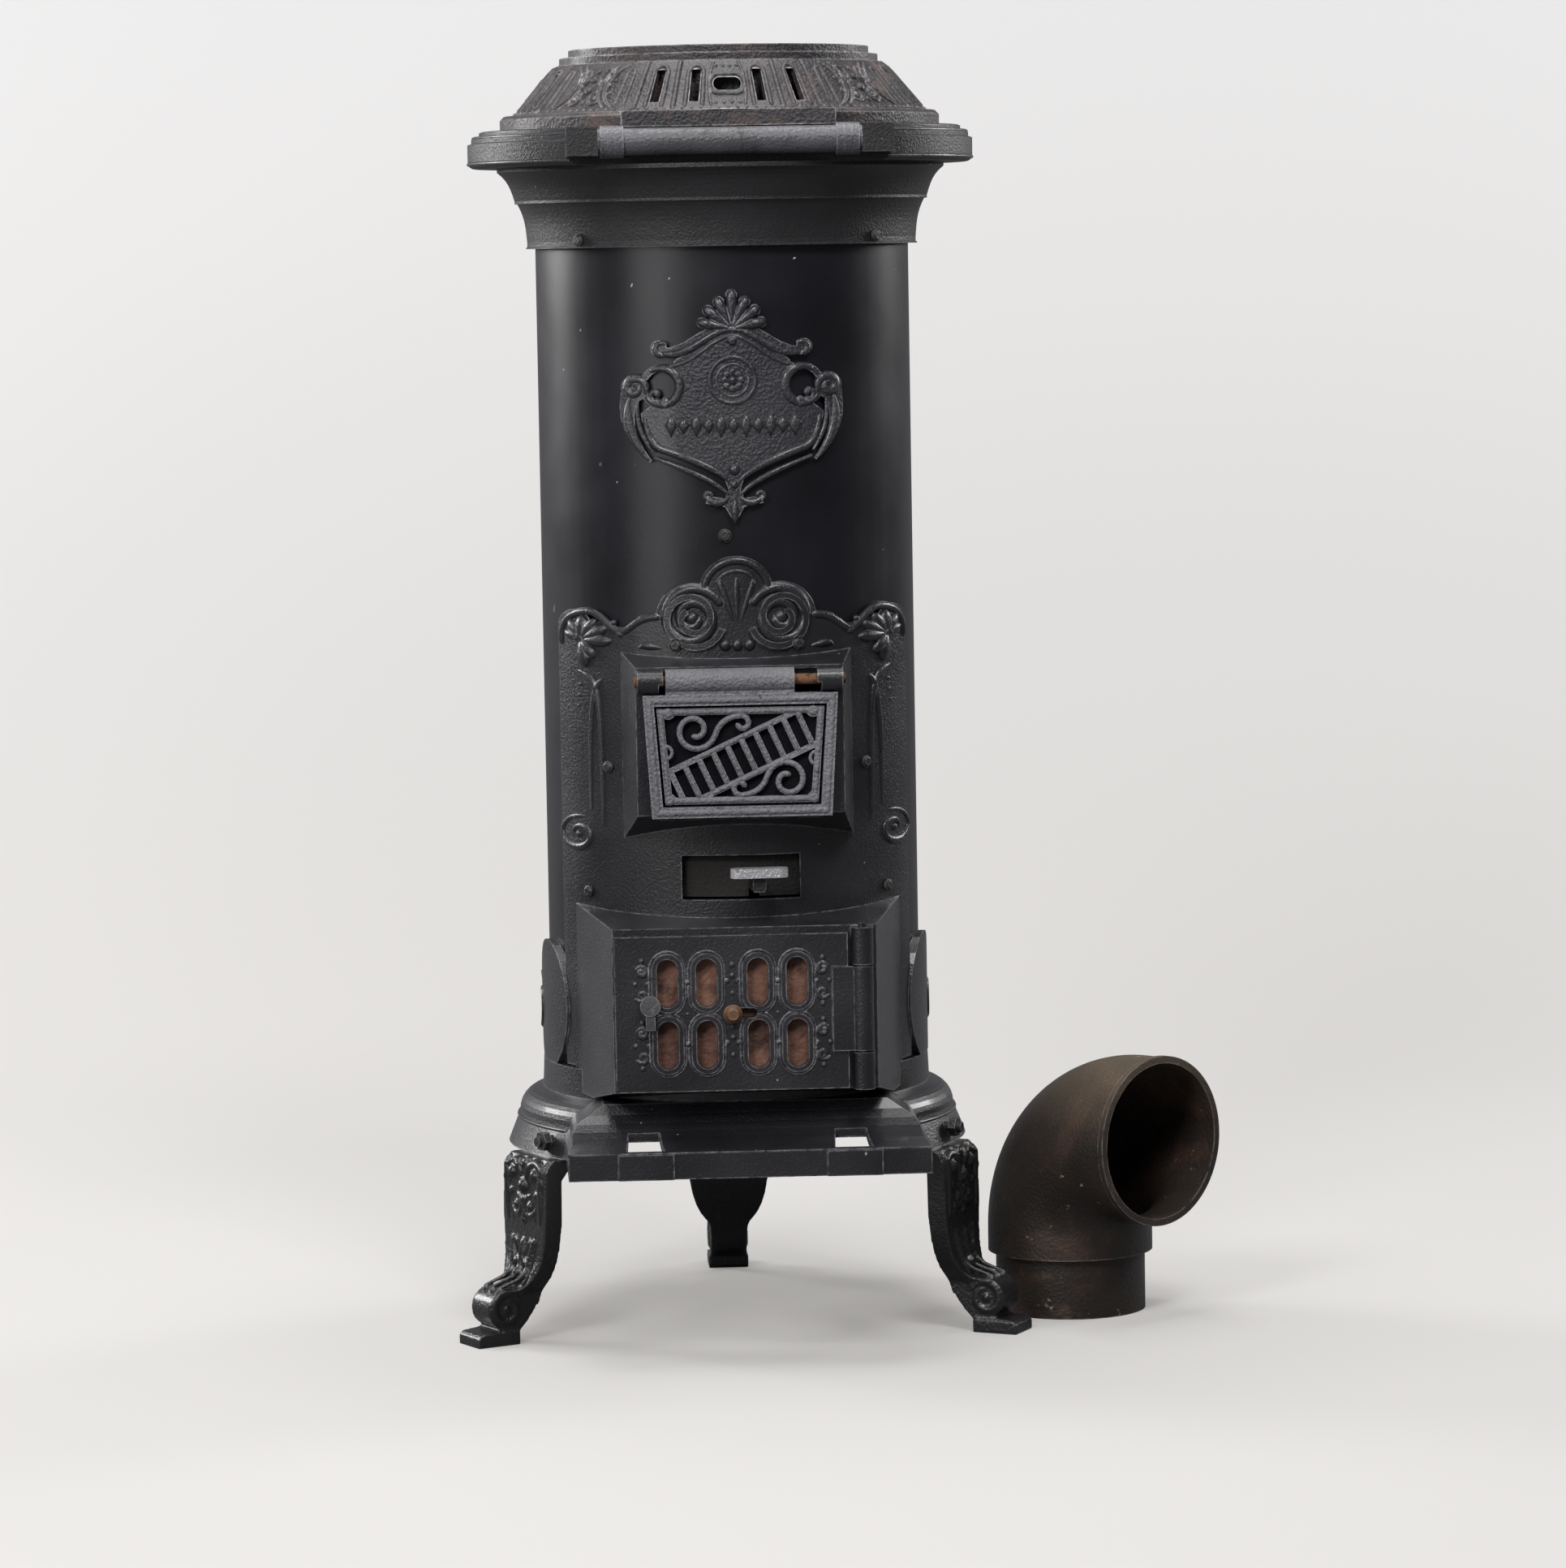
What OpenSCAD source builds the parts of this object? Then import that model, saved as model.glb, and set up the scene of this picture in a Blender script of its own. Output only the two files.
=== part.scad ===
// Round column stove: cast base on three cabriole legs, sheet jacket round a fire pot, cast front
// plate with a fuel door and an ash door, flared neck, rim with a hand bar, and a pierced crown.
// Millimetres. The origin is on the stove's upright axis at floor level, and the doors face -Y.

/* [Legs] */
// Height of the legs, from the floor to the underside of the base ring
leg_h = 140; // [125:1:160]
// How far the middle of each foot pad stands outside the base ring
foot_reach = 44; // [38:1:50]
// Width of a leg where it meets the base
leg_top_w = 66; // [58:1:72]
// Width of a leg above its foot
leg_foot_w = 29; // [26:1:34]
// Thickness of a leg below the base
leg_t = 14; // [12:0.5:17]
// Radius of the scroll that a leg ends in
scroll_r = 15; // [12:0.5:16]
// Length of a foot pad, towards the axis
pad_len = 36; // [32:1:42]
// Height of a foot pad
pad_h = 10; // [8:0.5:14]
// Angle of the front legs from straight ahead
front_leg_angle = 62; // [58:1:66]
// Radius of the bolt that holds each leg
leg_bolt_r = 4; // [3:0.5:5]

/* [Base] */
// Radius of the lower edge of the base ring
base_r = 176; // [174:1:184]
// Height of the base ring, up to the top of its collar
base_h = 65; // [60:1:72]
// Wall of the iron castings
cast_wall = 6; // [5:0.5:7]
// How far the straight hearth rail stands in front of the jacket
rail_reach = 77; // [70:1:84]
// Half the length of the hearth rail
rail_half = 134; // [131:1:137]
// Height of the band round the base's foot, and of the hearth rail
band_h = 20; // [16:1:22]
// Distance of the air notches from the middle of the rail
notch_x = 77; // [68:1:84]
// Thickness of the bottom plate
floor_t = 5; // [4:0.5:7]

/* [Jacket and fire pot] */
// Outside radius of the sheet jacket
body_r = 142; // [138:1:145]
// Thickness of the jacket sheet
jacket_t = 2.5; // [1.5:0.5:3]
// Length of the jacket
jacket_h = 645; // [620:5:700]
// Distance from the jacket's outer face in to the fire pot's
pot_inset = 26; // [24:1:28]
// Wall of the fire pot
pot_t = 8; // [6:0.5:9]
// Thickness of the brick lining
lining_t = 15; // [12:1:17]
// Height of the brick lining
lining_h = 205; // [185:5:240]
// Thickness of the heat plate that closes the pot
heat_plate_t = 6; // [5:0.5:8]
// Radius of the tie rods
rod_r = 4; // [3:0.5:5]
// Distance from the jacket's outer face in to the middle of the tie rods
rod_inset = 14; // [13:0.5:15]

/* [Grate] */
// Height of the grate's seat above the ash floor
grate_up = 126; // [124:1:140]
// Gap between the grate and the brick lining
grate_gap = 6.7; // [5:0.1:10]
// Thickness of the grate
grate_t = 10; // [8:1:12]
// Radius of the grate's spindle
spindle_r = 6; // [5:0.5:8]
// Running clearance of a turning pin
pin_play = 0.05; // [0.03:0.01:0.08]
// Half the width of the slot for the shaker
slot_half = 44; // [40:1:48]
// Height of the slot for the shaker
slot_h = 33; // [31:1:35]
// Angle at which the shaker stands, towards the right
shaker_angle = 4; // [0:1:6]
// How far the shaker's knob stands in front of the jacket
shaker_reach = 33; // [31:1:36]
// Length of the shaker's knob
knob_len = 43; // [36:1:46]

/* [Front plate] */
// Thickness of the front plate
plate_t = 4; // [3.5:0.5:5.5]
// Half the angle that the front plate covers
plate_turn = 67; // [65:0.5:69]
// Height of the plate's shoulders above the fuel door
shoulder_up = 39; // [36:1:60]
// Height of the plate's crest above its shoulders
crest_h = 41; // [34:1:48]
// Radius of the two volutes in the crest
volute_r = 26; // [22:1:29]
// Radius of a screw's shank
screw_r = 2; // [1.5:0.5:2.5]
// Radius of a screw's head
screw_head_r = 4.5; // [4:0.5:6]

/* [Fuel door] */
// Height of the fuel box above the grate's seat
fuel_up = 68; // [66:1:80]
// Height of the front of the fuel box
fuel_h = 110; // [106:1:120]
// Half the width of the front of the fuel box
fuel_half = 77; // [76:1:84]
// How far the fuel box stands in front of the jacket
fuel_reach = 28; // [26:1:34]
// Thickness of the fuel door
fuel_door_t = 12; // [11:0.5:14]
// Radius of the fuel door's hinge barrel
barrel_r = 9; // [8:0.5:10]
// Radius of the fuel door's hinge pin
fuel_pin_r = 4; // [3:0.5:5]
// Height of the fuel door
fuel_door_h = 91; // [84:1:93]
// Half the width of the fuel door at its top
door_top_half = 72; // [70:1:74]
// Half the width of the fuel door at its foot
door_foot_half = 66.5; // [65:0.5:70]
// Width of the fuel door's border
border_w = 8; // [7:0.5:9]

/* [Ash door] */
// Height of the front of the ash box
ash_h = 122; // [120:1:124]
// Half the width of the front of the ash box
ash_half = 98; // [96:1:104]
// How far the ash box stands in front of the jacket
ash_reach = 36; // [34:1:40]
// Thickness of the ash door
ash_door_t = 7; // [6:0.5:9]
// Radius of the ash door's hinge knuckles
knuckle_r = 8; // [7:0.5:9]
// Radius of the ash door's hinge pin
ash_pin_r = 3; // [2.5:0.5:4]
// Width of an air slot
air_slot_w = 15.5; // [13:0.5:16]
// Height of an air slot
air_slot_h = 36; // [30:1:37]
// Thickness of the air slide
slide_t = 2.5; // [2:0.5:3]
// Depth of the ash pan, front to back
pan_len = 250; // [220:5:260]
// Height of the ash pan
pan_h = 75; // [60:1:85]

/* [Neck, rim and crown] */
// Height of the neck above the jacket
neck_h = 49; // [46:1:56]
// Radius of the top of the neck
neck_r = 170; // [166:1:176]
// Radius of the rim
rim_r = 192; // [188:1:198]
// Height of the rim
rim_h = 27; // [24:1:31]
// Radius of the hand bar
bar_r = 10; // [8:0.5:10.5]
// Half the distance between the hand bar's brackets
bar_half = 97; // [92:1:99]
// Height of the crown above the rim
crown_h = 49; // [46:1:56]
// Radius of the foot of the crown
crown_foot_r = 167; // [165:1:170]
// Radius of the top of the crown
crown_top_r = 124; // [120:1:127]
// Width of the four oval holes in the crown
eye_w = 20.5; // [16:0.5:22]
// Height of the four oval holes in the crown
eye_h = 9.5; // [7:0.5:12]
// Thickness of the top ring
top_ring_t = 12; // [10:0.5:15]
// Radius of the lid in the top ring
lid_r = 84; // [70:1:90]

/* [Badge] */
// Distance of the badge's middle below the top of the jacket
badge_down = 127; // [120:1:135]
// Size of the badge, as a part of its drawn size
badge_size = 1; // [0.85:0.05:1.1]
// Thickness of the badge
badge_t = 4; // [3:0.5:6]

/* [Flue] */
// Distance of the flue collar below the top of the jacket
flue_down = 135; // [125:1:260]
// Inside radius of the flue collar
flue_r = 58; // [50:0.5:60]
// Wall of the flue collar
flue_wall = 5; // [4:0.5:6]
// Length of the socket in the flue collar
socket_len = 50; // [40:1:60]
// Outside radius of the elbow pipe
elbow_r = 63.5; // [61:0.5:66]
// Wall of the elbow pipe
elbow_wall = 4; // [3:0.5:4.5]
// Clearance of the elbow's spigot in a flue collar
spigot_play = 0.4; // [0.3:0.05:0.5]
// Length of the elbow's spigot
spigot_len = 46; // [38:1:54]
// Radius of the elbow's bend along its middle
bend_r = 75; // [70:1:85]
// Distance of the standing elbow from the stove's axis
elbow_away = 256; // [250:1:280]

/* [Hidden] */
$fn = 96;

// clearance between curved faces that seat on each other
gap = 0.3;
// a length past every face that a cut runs through
far = 400;
// a hair that lets one solid reach into the next of the same casting
bite = 0.5;

// radii of the column
jacket_in = body_r - jacket_t;
plate_in = body_r + gap;
plate_out = plate_in + plate_t;
plate_half = plate_in * sin(plate_turn);
plate_edge_d = plate_in * cos(plate_turn);
foot_r = base_r + foot_reach;
rod_ring_r = body_r - rod_inset;
pot_r = body_r - pot_inset;
collar_out = plate_in + cast_wall - 0.5;
pot_in = pot_r - pot_t;
lining_out = pot_in - gap;
lining_in = lining_out - lining_t;
grate_r = lining_in - grate_gap;
grate_pitch = (grate_r - 14) / 3.6;

// heights of the base
base_z = leg_h;
collar_top = base_z + base_h;
shelf_z = collar_top - 15;
shelf_t = 8;
shelf_in = body_r - 16;
hearth_z = shelf_z - 3;
rail_d = body_r + rail_reach;
rail_top = base_z + band_h;
floor_z = collar_top + floor_t;
upstand_in = jacket_in - 10;
jacket_top = shelf_z + jacket_h;

// heights and depths of the ash box
ash_front = body_r + ash_reach;
ash_z = collar_top - 6;
ash_top = ash_z + ash_h;
ash_flare = 0.25;
mouth_left = ash_half - 14;
mouth_right = ash_half - 26;
mouth_top = ash_top - 13;
knuckle_x = ash_half - 11;
knuckle_d = ash_front + 5;
ash_door_d = ash_front + gap;
ash_door_left = ash_half - 1;
ash_door_right = knuckle_x - knuckle_r - 3;
ash_door_z = ash_z + 1;
ash_door_top = ash_top - 5;
lug_h = 28;
air_cols = [-58, -29, 9, 38];
air_z = floor_z + 48;
air_rows = [air_z - 23, air_z + 23];
air_border = 4;
slide_shift = 14.5;
slide_x = -10;
slide_half_h = 23 + air_slot_h / 2 + 2.5;
slide_rail = 2.7;
latch_x = -71;
latch_z = air_z + 7;
trim_h = 2;

// heights of the grate and the fuel box
grate_z = floor_z + grate_up;
stand_t = 6;
stand_hole_r = grate_r - 26;
post_r = 6;
slot_z = grate_z + 2;
lever_z = grate_z + grate_t;
lever_w = 8;
lever_end = body_r + shaker_reach;
shield_out = jacket_in - 1;
fuel_z = grate_z + fuel_up;
fuel_top = fuel_z + fuel_h;
fuel_front = body_r + fuel_reach;
hinge_z = fuel_top - 10;
hinge_d = fuel_front + 6;
fuel_door_d = fuel_front + gap;
fuel_door_top = hinge_z - barrel_r - 1;
fuel_door_z = fuel_door_top - fuel_door_h;
spout_half = 60;
spout_z = fuel_z - 4;
spout_top = fuel_top - 12;
barrel_left = -55;
barrel_right = 40;
lug_w = 19;

// heights of the neck, the rim and the crown
pot_top = jacket_top;
plate_top = jacket_top + heat_plate_t;
neck_foot = jacket_top - 12;
neck_top = jacket_top + neck_h;
rim_top = neck_top + rim_h;
chord_d = 151;
bar_d = chord_d + bar_r + 4.5;
bar_z = rim_top - bar_r - 1;
crown_z = rim_top;
crown_top = crown_z + crown_h;
crown_wall = 5;
crown_step = 12;
step_d = 157;
step_half = 79;
lid_t = 8;
ring_top = crown_top + top_ring_t;

// places of the screws on the front plate, as angle and height
box_screw = asin((fuel_half + 19) / plate_out);
plate_screw_at = [
    [-18, fuel_top + 14], [18, fuel_top + 14], [-box_screw, fuel_z + 32], [box_screw, fuel_z + 32],
    [-50, grate_z + 5], [50, grate_z + 5], [-53, fuel_top + 20], [53, fuel_top + 20]
];
leg_angles = [-front_leg_angle, front_leg_angle, 180];
bolt_turn = 4;
bolt_z = base_z + 12;
rod_angles = [-80, 80, -130, 130];
post_angles = [-100, 100, -155, 155];
neck_screw_angles = [-48, 48, -132, 132];
neck_screw_z = jacket_top - 6;
flue_z = jacket_top - flue_down;
flue_flange_r = flue_r + 22;
flue_end = body_r + socket_len - 16;
badge_z = jacket_top - badge_down;
jacket_screw_z = badge_z - 99 * badge_size;
spigot_r = flue_r - spigot_play;
elbow_turn = 40;
elbow_mouth = 98 - 75;

// points of an arc round [cx, cy], from angle a to angle b
function arc(cx, cy, r, a, b, n = 8) =
    [for (i = [0:n]) [cx + r * cos(a + (b - a) * i / n), cy + r * sin(a + (b - a) * i / n)]];
// points of a cubic curve from p to s, drawn towards q and r on the way
function curve(p, q, r, s, n = 8) =
    [for (i = [0:n]) let (t = i / n, u = 1 - t)
        u * u * u * p + 3 * u * u * t * q + 3 * u * t * t * r + t * t * t * s];
// outline of a band that winds inwards and clockwise, from radius a to radius b over some turns
function spiral(a, b, w, turns, n = 36) = concat(
    [for (i = [0:n]) let (t = i / n)
        (a + (b - a) * t - w) * [cos(360 * turns * t), -sin(360 * turns * t)]],
    [for (i = [n:-1:0]) let (t = i / n)
        (a + (b - a) * t) * [cos(360 * turns * t), -sin(360 * turns * t)]]);
// outline of a band of one width along a path
function side_of(path, i, w) =
    let (d = path[min(i + 1, len(path) - 1)] - path[max(i - 1, 0)])
    path[i] + w * [d[1], -d[0]] / norm(d);
function ribbon(path, w) = concat(
    [for (i = [0:len(path) - 1]) side_of(path, i, w / 2)],
    [for (i = [len(path) - 1:-1:0]) side_of(path, i, -w / 2)]);

// what stands on the column at an angle from straight ahead, towards the right
module at(angle, r, z) rotate([0, 0, angle]) translate([0, -r, z]) children();
// a round bar that points away from the axis, from radius a to radius b
module peg(angle, a, b, z, r) at(angle, a, z) rotate([90, 0, 0]) cylinder(r = r, h = b - a);
// a flat drawing seen from the front, given depth from a to b
module front_slab(a, b) translate([0, -a, 0]) rotate([90, 0, 0]) linear_extrude(b - a) children();
// a flat drawing seen from the side, as depth and height, given a width
module side_slab(w) rotate([90, 0, -90]) linear_extrude(w, center = true) children();
// a straight block in front of the axis, from depth a to depth b
module front_block(x0, x1, a, b, z0, z1)
    translate([x0, -b, z0]) cube([x1 - x0, b - a, z1 - z0]);
module tube(r0, r1, z0, z1) difference() {
    translate([0, 0, z0]) cylinder(r = r1, h = z1 - z0);
    translate([0, 0, z0 - 1]) cylinder(r = r0, h = z1 - z0 + 2);
}
module bore(r, z0, z1) translate([0, 0, z0]) cylinder(r = r, h = z1 - z0);
module stadium(w, h) {
    square([w, h - w], center = true);
    for (s = [-1, 1]) translate([0, s * (h - w) / 2]) circle(d = w);
}
module dome_head(r, h) {
    cylinder(r = r, h = h / 2);
    translate([0, 0, h / 2]) cylinder(r1 = r, r2 = r * 0.6, h = h / 2);
}

// ---- legs and base ----

// a leg seen from its side, as distance from the axis and height: a pad, the scroll above it,
// an upright knee, and a seat that reaches in under the ring to a tongue
knee_out = base_r + 12;
knee_in = knee_out - leg_t;
scroll_z = pad_h + scroll_r + 2;
tongue_r = base_r - 23;
tongue_t = 8;
tongue_h = 19;
function leg_side() = concat(
    [[foot_r - pad_len / 2, 0], [foot_r + pad_len / 2, 0],
     [foot_r + pad_len / 2, pad_h - 3], [foot_r + pad_len / 2 - 3, pad_h]],
    arc(foot_r - 7, scroll_z, scroll_r, -75, 100, 12),
    curve([foot_r - 18, scroll_z + scroll_r], [knee_out + 6, leg_h * 0.34],
          [knee_out + 2, leg_h * 0.42], [knee_out + 1, leg_h * 0.56], 6),
    [[knee_out, leg_h - 10], [knee_out - 7, leg_h], [tongue_r, leg_h],
     [tongue_r, leg_h - 8], [knee_in - 7, leg_h - 9], [knee_in - 1, leg_h - 16]],
    curve([knee_in, leg_h * 0.6], [knee_in + 2, leg_h * 0.35], [foot_r - 38, leg_h * 0.2],
          [foot_r - pad_len / 2, pad_h], 8));
// half of a leg seen from outside, as distance from its middle and height
function leg_half() = concat(
    [[pad_half, 0], [pad_half, pad_h], [leg_foot_w / 2, pad_h + 0.5],
     [leg_foot_w / 2, scroll_z + scroll_r * 0.6]],
    curve([leg_foot_w / 2, scroll_z + scroll_r * 0.8], [leg_foot_w * 0.8, leg_h * 0.34],
          [leg_top_w / 2 - 2, leg_h * 0.4], [leg_top_w / 2, leg_h * 0.68], 6),
    [[leg_top_w / 2, leg_h]]);
pad_half = leg_foot_w / 2 + 1.5;
module leg_front() {
    half = leg_half();
    polygon(concat(half, [for (i = [len(half) - 1:-1:0]) [-half[i][0], half[i][1]]]));
}

module leg(angle) rotate([0, 0, angle]) difference() {
    union() {
        intersection() {
            side_slab(far) polygon(leg_side());
            front_slab(0, far) leg_front();
        }
        front_block(-tongue_h / 2 - 4, tongue_h / 2 + 4, tongue_r, tongue_r + tongue_t,
                    base_z - 4, base_z + tongue_h);
    }
    rotate([0, 0, bolt_turn]) peg(0, base_r - 40, base_r + 30, bolt_z, leg_bolt_r + 0.2);
}

module front_left_leg() color("#1d1d20") leg(leg_angles[0]);
module front_right_leg() color("#1d1d20") leg(leg_angles[1]);
module rear_leg() color("#1d1d20") leg(leg_angles[2]);

// the bolts come from inside; the nuts stand outside, and the thread shows past them
module leg_bolts() color("#5a3a28") for (a = leg_angles) {
    peg(a + bolt_turn, tongue_r - 5.3, tongue_r - 0.3, bolt_z, leg_bolt_r * 1.5);
    peg(a + bolt_turn, tongue_r - 0.3, base_r + 8, bolt_z, leg_bolt_r);
}
module leg_nuts() color("#5a3a28") for (a = leg_angles)
    at(a + bolt_turn, base_r - 1.4, bolt_z) rotate([90, 0, 0]) difference() {
        cylinder(r = leg_bolt_r * 1.9, h = 6, $fn = 6);
        translate([0, 0, -1]) cylinder(r = leg_bolt_r, h = 8);
    }

module base_profile() polygon(concat(
    [[base_r - cast_wall, base_z], [base_r, base_z], [base_r - 8, base_z + band_h]],
    arc(base_r - 26, base_z + band_h + 4, 17, 0, 75, 6),
    [[collar_out + 1, shelf_z - 7], [collar_out, collar_top], [plate_in, collar_top],
     [plate_in, shelf_z], [jacket_in - gap, shelf_z], [jacket_in - gap, collar_top],
     [upstand_in, collar_top], [upstand_in, shelf_z], [shelf_in, shelf_z],
     [shelf_in, shelf_z - shelf_t], [rod_ring_r + 12, shelf_z - shelf_t],
     [base_r - 17, base_z + band_h + 6], [base_r - 14, base_z + band_h - 2]]));

// the hearth in front of the ring: a rail, a ledge and a hollow sweep up to the box, first as
// depth and height, then as seen from the front
function sweep(t) = curve([rail_d - 6 - t / 2, rail_top - t], [rail_d - 28, rail_top - t],
    [body_r + 18 - t / 2, rail_top + 5 - t], [body_r + 8 - t / 2, hearth_z - t], 8);
hearth_back = 80;
module hearth_side() polygon(concat(
    [[rail_d, base_z], [rail_d, rail_top], [rail_d - 6, rail_top]], sweep(0),
    [[hearth_back, hearth_z], [hearth_back, base_z]]));
module hearth_front() polygon(concat(
    [[-rail_half, base_z], [rail_half, base_z], [rail_half, rail_top]],
    arc(rail_half - 20, rail_top + 2, 17, 0, 70, 5),
    [[rail_half - 28, hearth_z], [-rail_half + 28, hearth_z]],
    arc(20 - rail_half, rail_top + 2, 17, 110, 180, 5), [[-rail_half, rail_top]]));
module hearth_hollow_side() polygon(concat(
    [[rail_d - cast_wall, base_z - 20], [rail_d - cast_wall, rail_top - cast_wall]],
    sweep(cast_wall), [[40, hearth_z - cast_wall], [40, base_z - 20]]));
module hearth_hollow_front() {
    half = rail_half - cast_wall;
    polygon(concat([[-half, base_z - 20], [half, base_z - 20], [half, rail_top - 2]],
        arc(half - 18, rail_top - 2, 15, 0, 70, 5),
        [[half - 26, hearth_z], [-half + 26, hearth_z]],
        arc(18 - half, rail_top - 2, 15, 110, 180, 5), [[-half, rail_top - 2]]));
}
module air_notch() polygon([[-14, -rail_d + 8], [14, -rail_d + 8], [11.5, -rail_d + 48],
                            [-11.5, -rail_d + 48]]);

module base_casting() color("#202024") difference() {
    union() {
        difference() {
            union() {
                difference() {
                    rotate_extrude($fn = 144) base_profile();
                    difference() {
                        intersection() {
                            front_block(-far, far, hearth_back, far, 0, hearth_z);
                            front_slab(0, far) hearth_hollow_front();
                        }
                        bore(collar_out, hearth_z - cast_wall, hearth_z + 1);
                    }
                }
                difference() {
                    intersection() {
                        side_slab(2 * rail_half) hearth_side();
                        front_slab(0, far) hearth_front();
                    }
                    bore(shelf_in + 4, base_z - 20, shelf_z + 1);
                }
            }
            intersection() {
                side_slab(2 * rail_half) hearth_hollow_side();
                front_slab(0, far) hearth_hollow_front();
            }
        }
        for (s = [-1, 1])
            front_block(s * notch_x - 20.5, s * notch_x + 20.5, rail_d - 3, rail_d + 2.5,
                        base_z, rail_top - 1);
    }
    for (s = [-1, 1]) translate([s * notch_x, 0, base_z + 8]) linear_extrude(40) air_notch();
    // room for the front legs' tongues beside the hearth
    for (s = [-1, 1]) translate([s * (rail_half - cast_wall / 2), 0, 0])
        front_block(-cast_wall / 2 - gap, cast_wall / 2 + gap, hearth_back - 1, hearth_back + 12,
                    base_z - 1, rail_top + bite);
    for (a = leg_angles) peg(a + bolt_turn, base_r - 40, base_r + 20, bolt_z, leg_bolt_r + 0.2);
    for (a = rod_angles)
        at(a, rod_ring_r, shelf_z - 20) cylinder(r = rod_r + gap, h = 60);
}

module bottom_plate() color("#232326") difference() {
    bore(jacket_in - gap, collar_top, floor_z);
    for (a = rod_angles) at(a, rod_ring_r, collar_top - 5) cylinder(r = rod_r + gap, h = 30);
}

pan_left = mouth_left - 6;
pan_right = mouth_right - 6;
pan_front = ash_front - 16;
module ash_pan() color("#2b2624") difference() {
    union() {
        front_block(-pan_left, pan_right, pan_front - pan_len, pan_front, floor_z,
                    floor_z + pan_h);
        translate([(pan_right - pan_left) / 2, -pan_front + bite, floor_z + pan_h / 2])
            rotate([90, 0, 0]) difference() {
                cylinder(r = 16, h = 4 + bite);
                translate([0, 0, -1]) cylinder(r = 11, h = 10);
                translate([-20, 0, -1]) cube([40, 20, 10]);
            }
    }
    front_block(-pan_left + 2, pan_right - 2, pan_front - pan_len + 2, pan_front - 2,
                floor_z + 2, floor_z + pan_h + 1);
}

// ---- jacket and front plate ----

module fuel_mouth(extra) front_block(-spout_half - extra, spout_half + extra, 100, far,
                                     spout_z - extra, spout_top + extra);
module ash_way(extra) front_block(-mouth_left - 8 - extra, mouth_left + 8 + extra, 60, far,
                                  floor_z - extra, mouth_top + 4 + extra);
module shaker_way(extra) front_block(-slot_half - extra, slot_half + extra, 60, far,
                                     slot_z - extra, slot_z + slot_h + extra);
module plate_screw_holes() for (p = plate_screw_at)
    peg(p[0], body_r - 10, body_r + 20, p[1], screw_r + 0.1);
module neck_screw_holes() for (a = neck_screw_angles)
    peg(a, body_r - 10, body_r + 20, neck_screw_z, screw_r + 0.1);
module flue_screw_holes() for (a = [45:90:315])
    translate([0, 0, flue_z]) rotate([-90, 0, 0]) rotate([0, 0, a])
        translate([flue_r + 13, 0, 90]) cylinder(r = screw_r + 0.1, h = 90);

// the jacket is rolled in two shells, which meet at this angle on both sides; a strip on the
// front shell laps over the back one and is riveted to it
seam_turn = 115;
strip_half = 7;
strip_t = 2;
strip_foot = collar_top + 1;
strip_top = neck_foot - 1;
seam_rivet_r = 1.6;
module back_sector() polygon([[0, 0], [far * sin(seam_turn), -far * cos(seam_turn)],
    [far * sin(seam_turn), far], [-far * sin(seam_turn), far],
    [-far * sin(seam_turn), -far * cos(seam_turn)]]);
module seam_rivet_places() for (s = [-1, 1], k = [0:6])
    at(s * seam_turn, 0, strip_foot + 24 + k * (strip_top - strip_foot - 48) / 6)
        translate([s * strip_half / 2, 0, 0]) rotate([90, 0, 0]) children();

module jacket() color("#17171a") difference() {
    union() {
        difference() {
            tube(jacket_in, body_r, shelf_z, jacket_top);
            linear_extrude(far * 3) back_sector();
        }
        for (s = [-1, 1]) rotate([0, 0, s * seam_turn]) {
            front_block(-strip_half, strip_half, body_r + gap, body_r + strip_t,
                        strip_foot, strip_top);
            front_block(s > 0 ? -strip_half : 1.5, s > 0 ? -1.5 : strip_half, body_r - 1,
                        body_r + 1, strip_foot, strip_top);
        }
    }
    fuel_mouth(2);
    ash_way(0);
    shaker_way(0);
    plate_screw_holes();
    neck_screw_holes();
    seam_rivet_places() cylinder(r = seam_rivet_r + 0.1, h = far);
    peg(-3, body_r - 10, body_r + 10, jacket_screw_z, screw_r + 0.1);
    for (s = [-1, 1]) peg(s * badge_rivet_angle, body_r - 10, body_r + 10, badge_z, screw_r + 0.1);
}
module jacket_back() color("#17171a") difference() {
    intersection() {
        tube(jacket_in, body_r, shelf_z, jacket_top);
        translate([0, gap, 0]) linear_extrude(far * 3) back_sector();
    }
    translate([0, 0, flue_z]) rotate([-90, 0, 0]) cylinder(r = flue_r + flue_wall + gap, h = far);
    neck_screw_holes();
    flue_screw_holes();
    seam_rivet_places() cylinder(r = seam_rivet_r + 0.1, h = far);
}
module seam_rivets() color("#1c1c20") seam_rivet_places() {
    translate([0, 0, jacket_in + 0.3]) cylinder(r = seam_rivet_r, h = jacket_t + strip_t);
    translate([0, 0, body_r + strip_t + 0.05]) dome_head(3.2, 1.8);
}

module crest() {
    shoulder = fuel_top + shoulder_up;
    translate([-plate_half, collar_top + 2]) square([2 * plate_half, shoulder - collar_top - 14]);
    for (s = [-1, 1]) {
        translate([s * (plate_half - 12), shoulder - 12]) circle(r = 12);
        translate([s * (plate_half - 34), shoulder - 17]) circle(r = 10);
        translate([s * 33, shoulder - 5]) circle(r = volute_r);
        translate([s * 66, shoulder - 14]) circle(r = 12);
    }
    translate([0, shoulder + crest_h - 28]) circle(r = 28);
}
// the ears that wrap round the sides beside the ash box, as depth and height
module ear() polygon([for (i = [0:31])
    [plate_edge_d - 21.6 + 36 * cos(i * 11.25), ash_z + 50 + 50 * sin(i * 11.25)]]);

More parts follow.
